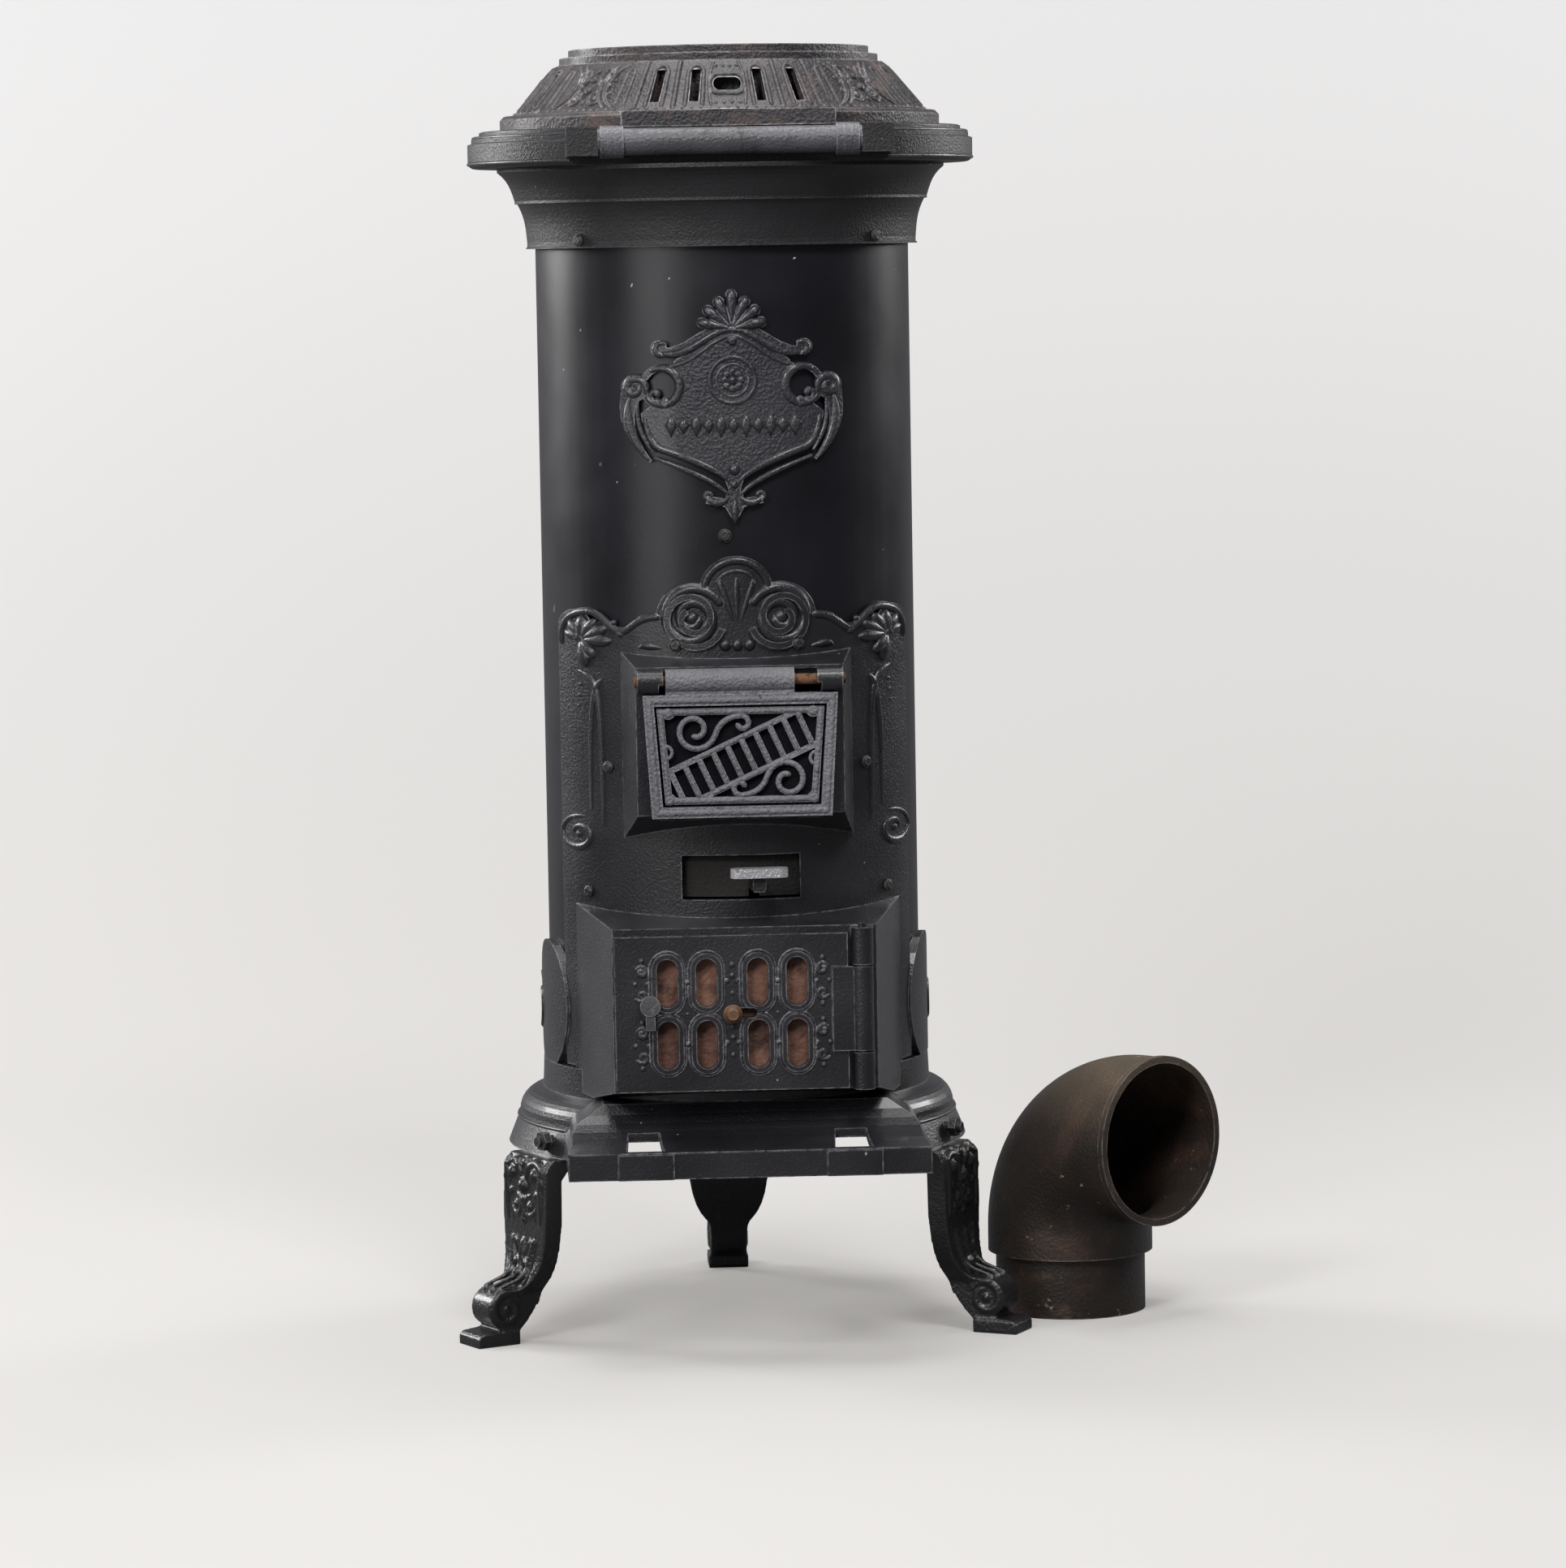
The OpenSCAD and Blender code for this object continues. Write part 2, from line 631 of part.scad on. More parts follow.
module ash_box_side(inset) polygon([
    [ash_front - inset, ash_z + inset], [ash_front - inset, ash_top - inset],
    [60, ash_top + 12 - inset], [60, hearth_z + gap + inset],
    [ash_front - 62, hearth_z + gap + inset]]);
module ash_box_plan(inset) {
    half = ash_half - inset;
    depth = ash_front - inset - 60;
    polygon([[-half, -ash_front + inset], [half, -ash_front + inset],
             [half + ash_flare * depth, -60], [-half - ash_flare * depth, -60]]);
}
module ash_box(inset) intersection() {
    side_slab(far) ash_box_side(inset);
    linear_extrude(far + 100) ash_box_plan(inset);
}
module fuel_box_side(inset) polygon([
    [fuel_front - inset, fuel_z + inset], [fuel_front - inset, fuel_top - inset],
    [100, fuel_top + 11 - inset], [100, fuel_z - 28 + inset]]);
module fuel_box_plan(inset) {
    half = fuel_half - inset;
    depth = fuel_front - inset - 100;
    polygon([[-half, -fuel_front + inset], [half, -fuel_front + inset],
             [half + 0.17 * depth, -100], [-half - 0.17 * depth, -100]]);
}
module fuel_box(inset) intersection() {
    side_slab(far) fuel_box_side(inset);
    linear_extrude(far + 300) fuel_box_plan(inset);
}
module fuel_lug(x) translate([x, -hinge_d, hinge_z]) rotate([0, 90, 0])
    cylinder(r = barrel_r, h = lug_w);
module ash_lug(z) {
    translate([knuckle_x, -knuckle_d, z]) cylinder(r = knuckle_r, h = lug_h);
    front_block(knuckle_x - knuckle_r, knuckle_x + knuckle_r, ash_front - 2, knuckle_d, z, z + lug_h);
}

module front_plate() color("#222226") difference() {
    union() {
        difference() {
            union() {
                intersection() {
                    tube(plate_in, plate_out, collar_top + gap, fuel_top + 200);
                    front_slab(0, far) crest();
                }
                intersection() {
                    tube(plate_in, plate_out + 2, collar_top + gap, fuel_z);
                    side_slab(far) ear();
                }
                for (s = [-1, 1]) difference() {
                    intersection() {
                        tube(plate_in, plate_out + 3, fuel_top, fuel_top + 200);
                        front_slab(0, far) translate([s * 33, fuel_top + shoulder_up - 5])
                            mirror([s > 0 ? 1 : 0, 0]) rotate(-20)
                                polygon(spiral(volute_r, 9, 5, 1.6));
                    }
                    // seats of the screws beside the volutes
                    for (p = plate_screw_at)
                        peg(p[0], plate_out, plate_out + 20, p[1], screw_head_r + gap);
                }
                fuel_box(0);
                ash_box(0);
            }
            difference() {
                fuel_box(cast_wall);
                front_block(-far, far, 0, 120, 0, far * 3);
            }
            difference() {
                ash_box(cast_wall);
                front_block(-far, far, 0, far, 0, floor_z);
            }
        }
        fuel_lug(-fuel_half + 1);
        fuel_lug(fuel_half - lug_w - 1);
        ash_lug(ash_z);
        ash_lug(ash_top - lug_h - 1);
    }
    bore(plate_in, 0, far * 3);
    bore(collar_out + 1 + gap, 0, collar_top + gap);
    fuel_mouth(0);
    front_block(-mouth_left, mouth_right, ash_front - 20, ash_front + 5, floor_z, mouth_top);
    shaker_way(0);
    keeper_studs(keeper_stud_r + 0.1, 10);
    plate_screw_holes();
    translate([barrel_left - 1, -hinge_d, hinge_z]) rotate([0, 90, 0])
        cylinder(r = barrel_r + 0.6, h = fuel_half - lug_w - barrel_left);
    translate([-far, -hinge_d, hinge_z]) rotate([0, 90, 0]) cylinder(r = fuel_pin_r, h = 2 * far);
    translate([knuckle_x, -knuckle_d, ash_z + lug_h])
        cylinder(r = knuckle_r + 0.6, h = ash_h - 2 * lug_h - 1);
    translate([knuckle_x, -knuckle_d, 0]) cylinder(r = ash_pin_r, h = far);
}

module plate_screws() color("#3a3634") for (p = plate_screw_at) {
    peg(p[0], body_r - 4, plate_out + 0.6, p[1], screw_r);
    at(p[0], plate_out + 0.5, p[1]) rotate([90, 0, 0]) dome_head(screw_head_r, 3);
}

// ---- fire pot and grate ----

module grate_stand() color("#2a2725") difference() {
    union() {
        tube(stand_hole_r, jacket_in - gap, grate_z - stand_t, grate_z);
        for (a = [45, 135]) rotate([0, 0, a])
            translate([-stand_hole_r - 2, -5, grate_z - stand_t]) cube([2 * stand_hole_r + 4, 10, stand_t]);
        bore(spindle_r + 8, grate_z - stand_t, grate_z);
        for (a = post_angles) at(a, rod_ring_r, floor_z) cylinder(r = post_r, h = grate_up - 1);
    }
    bore(spindle_r + pin_play, grate_z - 30, grate_z + 10);
    for (a = rod_angles) at(a, rod_ring_r, grate_z - 30) cylinder(r = rod_r + gap, h = 60);
}

module grate() color("#2e2927") difference() {
    union() {
        bore(grate_r, grate_z + gap, lever_z);
        bore(spindle_r, grate_z - stand_t - 2, grate_z + gap + 1);
    }
    for (i = [-3:3]) if (i != 0) {
        half = sqrt(pow(grate_r - 12, 2) - pow(i * grate_pitch, 2));
        for (s = [-1, 1]) translate([i * grate_pitch - 5, s > 0 ? 5 : -half, grate_z])
            cube([10, half - 5, grate_t + 2]);
    }
}

module shaker_lever() color("#2c2a2a") rotate([0, 0, shaker_angle]) difference() {
    union() {
        front_block(-lever_w / 2, lever_w / 2, grate_r - 22, lever_end, lever_z, lever_z + 8);
        front_block(-5, 5, lever_end - 12, lever_end, lever_z + 2, lever_z + 11);
    }
    front_block(-20, 20, shield_out - 3 - gap, shield_out + gap, lever_z + 7.5, lever_z + 9);
}
module shaker_knob() color("#8b8b90") rotate([0, 0, shaker_angle])
    translate([0, -lever_end + 2, lever_z + 11]) rotate([0, 0, 90]) linear_extrude(7)
        stadium(14, knob_len);
module slot_shield() color("#1a1a1c") difference() {
    intersection() {
        tube(shield_out - 2.5, shield_out, slot_z + 1.5, slot_z + slot_h - 1.5);
        rotate([0, 0, shaker_angle]) front_block(-76, 76, 60, far, 0, far * 2);
    }
    rotate([0, 0, shaker_angle])
        front_block(-lever_w / 2, lever_w / 2, 60, far, slot_z - 5, lever_z + 8);
}

module fire_pot() color("#2b2523") difference() {
    union() {
        tube(pot_in, pot_r, grate_z, pot_top);
        difference() {
            front_block(-spout_half + gap, spout_half - gap, 90, body_r - 1, spout_z + gap,
                        spout_top - gap);
            bore(pot_in + 1, 0, far * 3);
        }
    }
    front_block(-spout_half + 5, spout_half - 5, 60, far, spout_z + 5, spout_top - 5);
    front_block(-slot_half - 2, slot_half + 2, 60, far, grate_z - 1, slot_z + slot_h + 1);
    translate([0, 0, flue_z]) rotate([-90, 0, 0]) cylinder(r = flue_r - 3, h = far);
}
module fire_lining() color("#8c6f58") difference() {
    tube(lining_in, lining_out, grate_z, grate_z + lining_h);
    front_block(-spout_half + 3, spout_half - 3, 30, far, spout_z + 3, spout_top - 3);
    front_block(-slot_half - 2, slot_half + 2, 30, far, grate_z - 1, slot_z + slot_h + 1);
}
module heat_plate() color("#28262a") difference() {
    bore(body_r, jacket_top, plate_top);
    for (a = rod_angles) at(a, rod_ring_r, jacket_top - 5) cylinder(r = rod_r + gap, h = 30);
}
rod_foot = shelf_z - shelf_t;
module tie_rods() color("#3b3532") for (a = rod_angles)
    at(a, rod_ring_r, rod_foot - 12) cylinder(r = rod_r, h = plate_top - rod_foot + 24);
module tie_rod_nut() difference() {
    cylinder(r = rod_r * 1.8, h = 7, $fn = 6);
    translate([0, 0, -1]) cylinder(r = rod_r, h = 9);
}
module tie_rod_nuts() color("#4a3b30") for (a = rod_angles) {
    at(a, rod_ring_r, plate_top) tie_rod_nut();
    at(a, rod_ring_r, rod_foot - 7) tie_rod_nut();
}

module flue_collar() color("#232325") difference() {
    union() {
        translate([0, 0, flue_z]) rotate([-90, 0, 0]) cylinder(r = flue_r + flue_wall, h = flue_end);
        intersection() {
            tube(body_r + gap, body_r + gap + 5, flue_z - 100, flue_z + 100);
            translate([0, 0, flue_z]) rotate([-90, 0, 0]) cylinder(r = flue_flange_r, h = far);
        }
    }
    bore(pot_r + gap, 0, far * 3);
    translate([0, 0, flue_z]) rotate([-90, 0, 0]) cylinder(r = flue_r - 3, h = far);
    translate([0, flue_end - socket_len, flue_z]) rotate([-90, 0, 0]) cylinder(r = flue_r, h = far);
    flue_screw_holes();
}
module flue_collar_screws() color("#3a3634")
    for (a = [45:90:315]) translate([0, 0, flue_z]) rotate([-90, 0, 0]) rotate([0, 0, a])
        translate([flue_r + 13, 0, 0]) {
            translate([0, 0, pot_r - 6]) cylinder(r = screw_r, h = pot_inset + gap + 11);
            translate([0, 0, body_r + gap + 4.8]) dome_head(screw_head_r, 3);
        }

// ---- badge ----

badge_rivet_angle = 20;
// one half of the field of the badge, from its point up to its peak
function badge_half() = concat(
    [[3, -70], [6, -60]], curve([10, -52], [28, -44], [60, -36], [67, -14], 7),
    [[68, -8], [60, -2]], curve([52, -3], [40, -2], [38, 22], [43, 30], 5),
    curve([40, 33], [26, 36], [20, 50], [8, 54], 6));
// one half of the crest scroll, the side scroll and the leaf that hangs from it
module badge_scrolls() {
    polygon(concat(curve([0, 50], [24, 46], [30, 30], [52, 34], 6),
                   curve([56, 40], [32, 38], [26, 58], [0, 60], 6)));
    translate([54, 40]) circle(r = 6);
    translate([52.6, 12]) difference() {
        circle(r = 16);
        circle(r = 11);
        translate([4, -5]) square([20, 10]);
    }
    translate([72, 11]) circle(r = 10);
    polygon(concat(curve([68, 4], [76, -8], [74, -26], [60, -43], 6),
                   curve([62, -44], [80, -26], [86, -14], [82, 8], 6)));
}
module badge_petals() for (a = [-78:26:78]) translate([0, 54]) rotate(a) {
    length = a == 0 ? 25 : 22;
    translate([-3.2, 0]) square([6.4, length]);
    translate([0, length]) circle(r = 4.2);
}
module badge_outline() {
    half = badge_half();
    n = len(half) - 1;
    polygon(concat([[0, -72]], half, [for (i = [n:-1:0]) [-half[i][0], half[i][1]]]));
    badge_scrolls();
    mirror([1, 0]) badge_scrolls();
    badge_petals();
    for (s = [-1, 1]) translate([s * 10, -74]) rotate(s * 10) square([22, 6], center = true);
    polygon([[0, -90], [7, -78], [6, -66], [-6, -66], [-7, -78]]);
}
module badge_hole(r) for (s = [-1, 1]) peg(s * badge_rivet_angle, body_r - 10, body_r + 20, badge_z, r);
module shield_badge() color("#26262a") difference() {
    intersection() {
        tube(body_r + gap, body_r + gap + badge_t, badge_z - 130, badge_z + 130);
        front_slab(0, far) translate([0, badge_z]) scale(badge_size) badge_outline();
    }
    badge_hole(screw_r + 0.1);
}
module badge_rivets() color("#2c2c30") for (s = [-1, 1]) {
    peg(s * badge_rivet_angle, jacket_in - 2, body_r + badge_t + gap + 0.6, badge_z, screw_r);
    at(s * badge_rivet_angle, body_r + badge_t + gap + 0.5, badge_z) rotate([90, 0, 0])
        dome_head(screw_head_r - 1, 2);
}
module jacket_screw() color("#3a3634") {
    peg(-3, jacket_in - 4, body_r + 0.4, jacket_screw_z, screw_r);
    at(-3, body_r + gap, jacket_screw_z) rotate([90, 0, 0]) dome_head(screw_head_r + 0.5, 3);
}

// ---- fuel door ----

// the door's outline, drawn in by an inset
module fuel_outline(inset) polygon([
    [-door_foot_half + inset, fuel_door_z + inset], [door_foot_half - inset, fuel_door_z + inset],
    [door_top_half - inset, fuel_door_top - inset], [-door_top_half + inset, fuel_door_top - inset]]);
module fuel_frame_slab(inset, a, b) front_slab(a, b) difference() {
    fuel_outline(0);
    fuel_outline(inset);
}
grille_inset = border_w + 2;
backplate_t = 1.5;
grille_t = 5;
grille_d = fuel_door_d + 2.7 + backplate_t;
door_mid_z = (fuel_door_top + fuel_door_z) / 2;
rivet_x = door_foot_half - border_w - 5;
rivet_z = fuel_door_h / 2 - border_w - 5;
module fuel_rivet_holes(r) for (x = [-1, 1], z = [-1, 1])
    translate([x * rivet_x, -fuel_door_d + 1, door_mid_z + z * rivet_z]) rotate([90, 0, 0])
        cylinder(r = r, h = 30);

module fuel_door_frame() color("#5b5b60") difference() {
    union() {
        fuel_frame_slab(border_w, fuel_door_d, fuel_door_d + fuel_door_t);
        fuel_frame_slab(border_w + 10, fuel_door_d, fuel_door_d + 2.7);
        translate([barrel_left, -hinge_d, hinge_z]) rotate([0, 90, 0])
            cylinder(r = barrel_r, h = barrel_right - barrel_left);
        front_block(barrel_left, barrel_right, hinge_d - 5, hinge_d + 5,
                    fuel_door_top - 3, hinge_z);
    }
    translate([-far, -hinge_d, hinge_z]) rotate([0, 90, 0])
        cylinder(r = fuel_pin_r + pin_play, h = 2 * far);
    fuel_rivet_holes(screw_r);
}

// the slanted band of the grille, with bars across it
grille_slant = 24.5;
module grille_band() rotate(grille_slant) {
    for (y = [-16.3, 12]) translate([-90, y - 2]) square([180, 4]);
    for (i = [-5:4]) translate([i * 11.5 + 3, -15]) square([4.2, 26]);
}
// an S-shaped scroll beside the band: it unwinds from its eye, sweeps up and ends in a curl
scroll_eye = [-34, 19];
function scroll_path() = concat(
    [for (i = [0:20]) let (t = i / 20, a = -13 - 440 * (1 - t))
        scroll_eye + (4.5 + 11 * t) * [cos(a), sin(a)]],
    [for (i = [1:5]) curve([-18.9, 15.5], [-17, 24], [-9, 29.6], [1, 29.6], 5)[i]],
    [for (i = [1:6]) [1, 23.6] + (6 - i * 0.45) * [cos(90 - i * 40), sin(90 - i * 40)]]);
module grille_scroll() polygon(ribbon(scroll_path(), 3.8));
module fuel_door_grille() color("#6b6b70") difference() {
    front_slab(grille_d, grille_d + grille_t) {
        difference() {
            fuel_outline(grille_inset);
            fuel_outline(grille_inset + 5);
        }
        intersection() {
            fuel_outline(grille_inset + 1);
            translate([0, door_mid_z]) union() {
                grille_band();
                grille_scroll();
                rotate(180) grille_scroll();
                for (x = [-1, 1], z = [-1, 1])
                    translate([x * rivet_x, z * rivet_z]) circle(r = 5);
            }
        }
    }
    fuel_rivet_holes(screw_r);
}
module fuel_door_backplate() color("#141416") difference() {
    front_slab(fuel_door_d + 2.7, grille_d) fuel_outline(border_w + gap);
    fuel_rivet_holes(screw_r);
}
module fuel_door_rivets() color("#6b6b70") for (x = [-1, 1], z = [-1, 1])
    translate([x * rivet_x, -fuel_door_d - 0.2, door_mid_z + z * rivet_z]) rotate([90, 0, 0]) {
        cylinder(r = screw_r, h = 2.5 + backplate_t + grille_t);
        translate([0, 0, 2.5 + backplate_t + grille_t]) dome_head(3.5, 2);
    }
module fuel_door_hinge_pin() color("#7a4a30")
    translate([-fuel_half - 1, -hinge_d, hinge_z]) rotate([0, 90, 0])
        cylinder(r = fuel_pin_r, h = 2 * fuel_half + 2);

// ---- ash door ----

module air_slots(w, h) for (x = air_cols, z = air_rows) translate([x, z]) stadium(w, h);
knuckle_z = ash_z + lug_h + 1;
knuckle_top = ash_top - lug_h - 2;
module ash_door() color("#232327") difference() {
    union() {
        front_block(-ash_door_left, ash_door_right, ash_door_d, ash_door_d + ash_door_t,
                    ash_door_z, ash_door_top);
        front_slab(ash_door_d + ash_door_t - bite, ash_door_d + ash_door_t + trim_h)
            air_slots(air_slot_w + 2 * air_border, air_slot_h + 2 * air_border);
        front_block(ash_door_right - 12, knuckle_x, ash_door_d + 1, ash_door_d + ash_door_t + trim_h,
                    knuckle_z, knuckle_top);
        translate([knuckle_x, -knuckle_d, knuckle_z])
            cylinder(r = knuckle_r, h = knuckle_top - knuckle_z);
        // rails that carry the air slide
        for (s = [-1, 1]) translate([0, 0, air_z + s * (slide_half_h + gap + slide_rail / 2)]) {
            front_block(-70, 62, ash_door_d - slide_t - 2, ash_door_d + bite,
                        -slide_rail / 2, slide_rail / 2);
            front_block(-70, 62, ash_door_d - slide_t - 2, ash_door_d - slide_t - gap,
                        s > 0 ? -slide_rail - 1.5 : -slide_rail / 2,
                        s > 0 ? slide_rail / 2 : slide_rail + 1.5);
        }
    }
    front_slab(ash_door_d - 1, ash_door_d + 30) air_slots(air_slot_w, air_slot_h);
    front_slab(ash_door_d - 1, ash_door_d + 30)
        translate([slide_x + slide_shift / 2, air_z]) rotate(90) stadium(7, slide_shift + 8);
    translate([latch_x, -ash_door_d + 20, latch_z]) rotate([90, 0, 0])
        cylinder(r = 3.5 + pin_play, h = 60);
    translate([knuckle_x, -knuckle_d, 0]) cylinder(r = ash_pin_r + pin_play, h = far);
}
module ash_door_hinge_pin() color("#3a3330")
    translate([knuckle_x, -knuckle_d, ash_z]) cylinder(r = ash_pin_r, h = ash_h + 2);

slide_d = ash_door_d - slide_t - 0.15;
module air_slide() color("#8a4a2c") difference() {
    front_slab(slide_d, slide_d + slide_t) difference() {
        translate([-82, air_z - slide_half_h]) square([132, 2 * slide_half_h]);
        for (x = air_cols, z = air_rows) translate([x - slide_shift, z])
            stadium(air_slot_w - 3.5, air_slot_h - 3);
        translate([latch_x - slide_shift - 4.5, latch_z - 4.5]) square([slide_shift + 9, 9]);
    }
    translate([slide_x, -slide_d + 1, air_z]) rotate([90, 0, 0]) cylinder(r = 2, h = 20);
}
module air_slide_knob() color("#4a2f22") translate([slide_x, -slide_d, air_z]) rotate([90, 0, 0]) {
    cylinder(r = 2, h = slide_t + 0.5);
    translate([0, 0, slide_t + 0.4]) cylinder(r = 2.8, h = ash_door_t + trim_h + 2);
    translate([0, 0, slide_t + ash_door_t + trim_h + 1]) cylinder(r1 = 5, r2 = 7, h = 4);
    translate([0, 0, slide_t + ash_door_t + trim_h + 5]) cylinder(r1 = 7, r2 = 4, h = 4);
}
// the latch's tongue turns behind a keeper, whose two studs are riveted flush into the mouth's lip
keeper_t = 3.5;
keeper_stud_r = 1.5;
keeper_d = ash_front - cast_wall - keeper_t;
module keeper_studs(r, h) for (s = [-1, 1])
    translate([-mouth_left - 4, -keeper_d - 1, latch_z + s * 5]) rotate([90, 0, 0])
        cylinder(r = r, h = h);
module latch_keeper() color("#2c2c30") {
    front_block(-mouth_left - 7, -pan_left - 0.6, keeper_d, ash_front - cast_wall,
                latch_z - 8, latch_z + 8);
    keeper_studs(keeper_stud_r, cast_wall + keeper_t - 1.2);
}
latch_t = 3.7;
latch_d = keeper_d - 0.6;
latch_reach = mouth_left + latch_x - 0.5;
module ash_door_latch() color("#a2a2a6") translate([latch_x, -latch_d + latch_t, latch_z])
    rotate([90, 0, 0]) {
        spindle = ash_door_d + ash_door_t + trim_h + gap - latch_d + latch_t;
        cylinder(r = 3.5, h = spindle + 1);
        translate([-4, -4, 0]) cube([8, latch_reach + 4, latch_t]);
        translate([0, 0, spindle]) cylinder(r = 7.5, h = 5);
        translate([-3.5, -18, spindle]) cube([7, 18, 4]);
    }

// ---- neck, rim and crown ----

module neck_profile() polygon(concat(
    [[plate_in, neck_foot], [body_r + 7, neck_foot], [body_r + 7, neck_foot + 1],
     [body_r + 6, neck_foot + 1.4]],
    curve([body_r + 6, neck_foot + 5], [body_r + 7, neck_top - 46], [body_r + 7, neck_top - 38],
          [body_r + 13, neck_top - 27], 8),
    [[body_r + 15, neck_top - 27]],
    curve([body_r + 15, neck_top - 25], [body_r + 18, neck_top - 15], [neck_r - 8, neck_top - 9],
          [neck_r, neck_top - 3], 6),
    [[neck_r, neck_top], [neck_r - 30, neck_top], [neck_r - 30, neck_top - 4],
     [neck_r - 10, neck_top - 5]],
    curve([neck_r - 10, neck_top - 5], [body_r + 8, neck_top - 14], [body_r + 4, neck_top - 26],
          [body_r - 5, plate_top + 5], 8),
    [[body_r - 5, plate_top], [plate_in, plate_top]]));
module neck_casting() color("#242428") difference() {
    rotate_extrude($fn = 144) neck_profile();
    neck_screw_holes();
}
module neck_screws() color("#3a3634") for (a = neck_screw_angles) {
    peg(a, jacket_in - 3, body_r + 7, neck_screw_z, screw_r);
    at(a, body_r + 6.7, neck_screw_z) rotate([90, 0, 0]) dome_head(screw_head_r, 3);
}

module rim_profile() polygon(concat(
    [[neck_r - 30, neck_top]],
    arc(rim_r - 5, neck_top + 5, 5, -90, 0, 4),
    [[rim_r, rim_top - 9], [rim_r - 3, rim_top - 8], [rim_r - 3, rim_top - 5],
     [rim_r - 9, rim_top - 3], [rim_r - 9, rim_top], [crown_foot_r - 22, rim_top],
     [crown_foot_r - 22, rim_top - 6], [rim_r - 16, rim_top - 7], [rim_r - 12, neck_top + 6],
     [neck_r - 30, neck_top + 5]]));
module rim() color("#26262a") difference() {
    union() {
        difference() {
            rotate_extrude($fn = 144) rim_profile();
            front_block(-far, far, chord_d, far, 0, far * 3);
        }
        intersection() {
            front_block(-far, far, chord_d - 8, chord_d, neck_top, rim_top);
            bore(rim_r - 4, neck_top, rim_top);
        }
        for (s = [-1, 1]) translate([s * (bar_half + 11.5), 0, 0])
            front_block(-11.5, 11.5, chord_d - 12, bar_d + bar_r, bar_z - bar_r, rim_top);
    }
    translate([-far, -bar_d, bar_z]) rotate([0, 90, 0]) cylinder(r = bar_r - 2, h = 2 * far);
}
module hand_bar() color("#2b2b30") translate([-bar_half, -bar_d, bar_z]) rotate([0, 90, 0]) {
    cylinder(r = bar_r, h = 2 * bar_half);
    translate([0, 0, -20]) cylinder(r = bar_r - 2, h = 2 * bar_half + 40);
}
collar_w = 17;
module bar_collars() color("#2a2a2e") for (s = [-1, 1])
    translate([s * (bar_half - 2 - collar_w / 2), -bar_d, bar_z]) rotate([0, 90, 0]) difference() {
        union() for (k = [-1, 0, 1]) {
            translate([0, 0, k * 5.6 - 2.6]) cylinder(r = bar_r + 2, h = 5.2);
            translate([0, 0, k * 5.6 - 3]) cylinder(r = bar_r + 1.2, h = 6);
        }
        translate([0, 0, -far / 2]) cylinder(r = bar_r, h = far);
    }

crown_slot_angles = [-21, -9.6, 9.6, 21];
module crown_profile() polygon(concat(
    [[crown_foot_r - 20, crown_z], [crown_foot_r, crown_z], [crown_foot_r, crown_z + crown_step - 3],
     [crown_foot_r - 3, crown_z + crown_step], [crown_foot_r - 9, crown_z + crown_step]],
    curve([crown_foot_r - 9, crown_z + crown_step], [crown_foot_r - 19, crown_top - 30],
          [crown_top_r + 12, crown_top - 10], [crown_top_r, crown_top], 10),
    [[crown_top_r - 8, crown_top], [crown_top_r - 8, crown_top - crown_wall]],
    curve([crown_top_r - 1, crown_top - crown_wall], [crown_top_r + 8, crown_top - 14],
          [crown_foot_r - 26, crown_top - 32], [crown_foot_r - 16, crown_z + crown_step - 3], 8),
    [[crown_foot_r - 20, crown_z + crown_step - 4]]));
// a baffle hangs behind the eyes and slots, and leaves the air a way round below
baffle_t = 3.4;
baffle_h = 34;
slot_root = crown_top_r + 0.6;
module crown() color("#4a3f40") difference() {
    union() {
        difference() {
            rotate_extrude($fn = 144) crown_profile();
            front_block(-far, far, step_d, far, 0, crown_z + crown_step);
        }
        tube(crown_top_r - baffle_t, crown_top_r, crown_top - baffle_h, crown_top - 2);
        front_block(-step_half, step_half, step_d - 14, step_d, crown_z, crown_z + crown_step);
    }
    for (q = [0:90:270]) {
        at(q, slot_root, crown_top - 18) rotate([90, 0, 0]) linear_extrude(crown_foot_r - slot_root)
            rotate(90) stadium(eye_h, eye_w);
        for (a = crown_slot_angles) rotate([0, 0, q + a])
            front_block(-3.5, 3.5, slot_root, crown_foot_r + 10, crown_z + crown_step + 6,
                        crown_top - 7);
    }
}
module top_ring() color("#3a3336") difference() {
    union() {
        bore(crown_top_r - 3, crown_top, crown_top + top_ring_t / 2);
        bore(crown_top_r - 10, crown_top, ring_top);
        bore(crown_top_r - 8 - gap, crown_top - crown_wall, crown_top);
    }
    bore(lid_r + gap, ring_top - lid_t, ring_top + 1);
    bore(lid_r - 8, crown_top - 20, ring_top + 1);
}
module top_lid() color("#332e30") difference() {
    bore(lid_r, ring_top - lid_t, ring_top + 0.5);
    translate([0, 0, ring_top - 4]) tube(lid_r - 22, lid_r - 16, 0, 10);
    translate([lid_r * 0.55, 0, ring_top - 5]) rotate([0, 0, 20]) cube([24, 14, 12], center = true);
}

// ---- elbow, which stands beside the stove ----

elbow_step = spigot_len + 18;
elbow_in = elbow_r - elbow_wall;
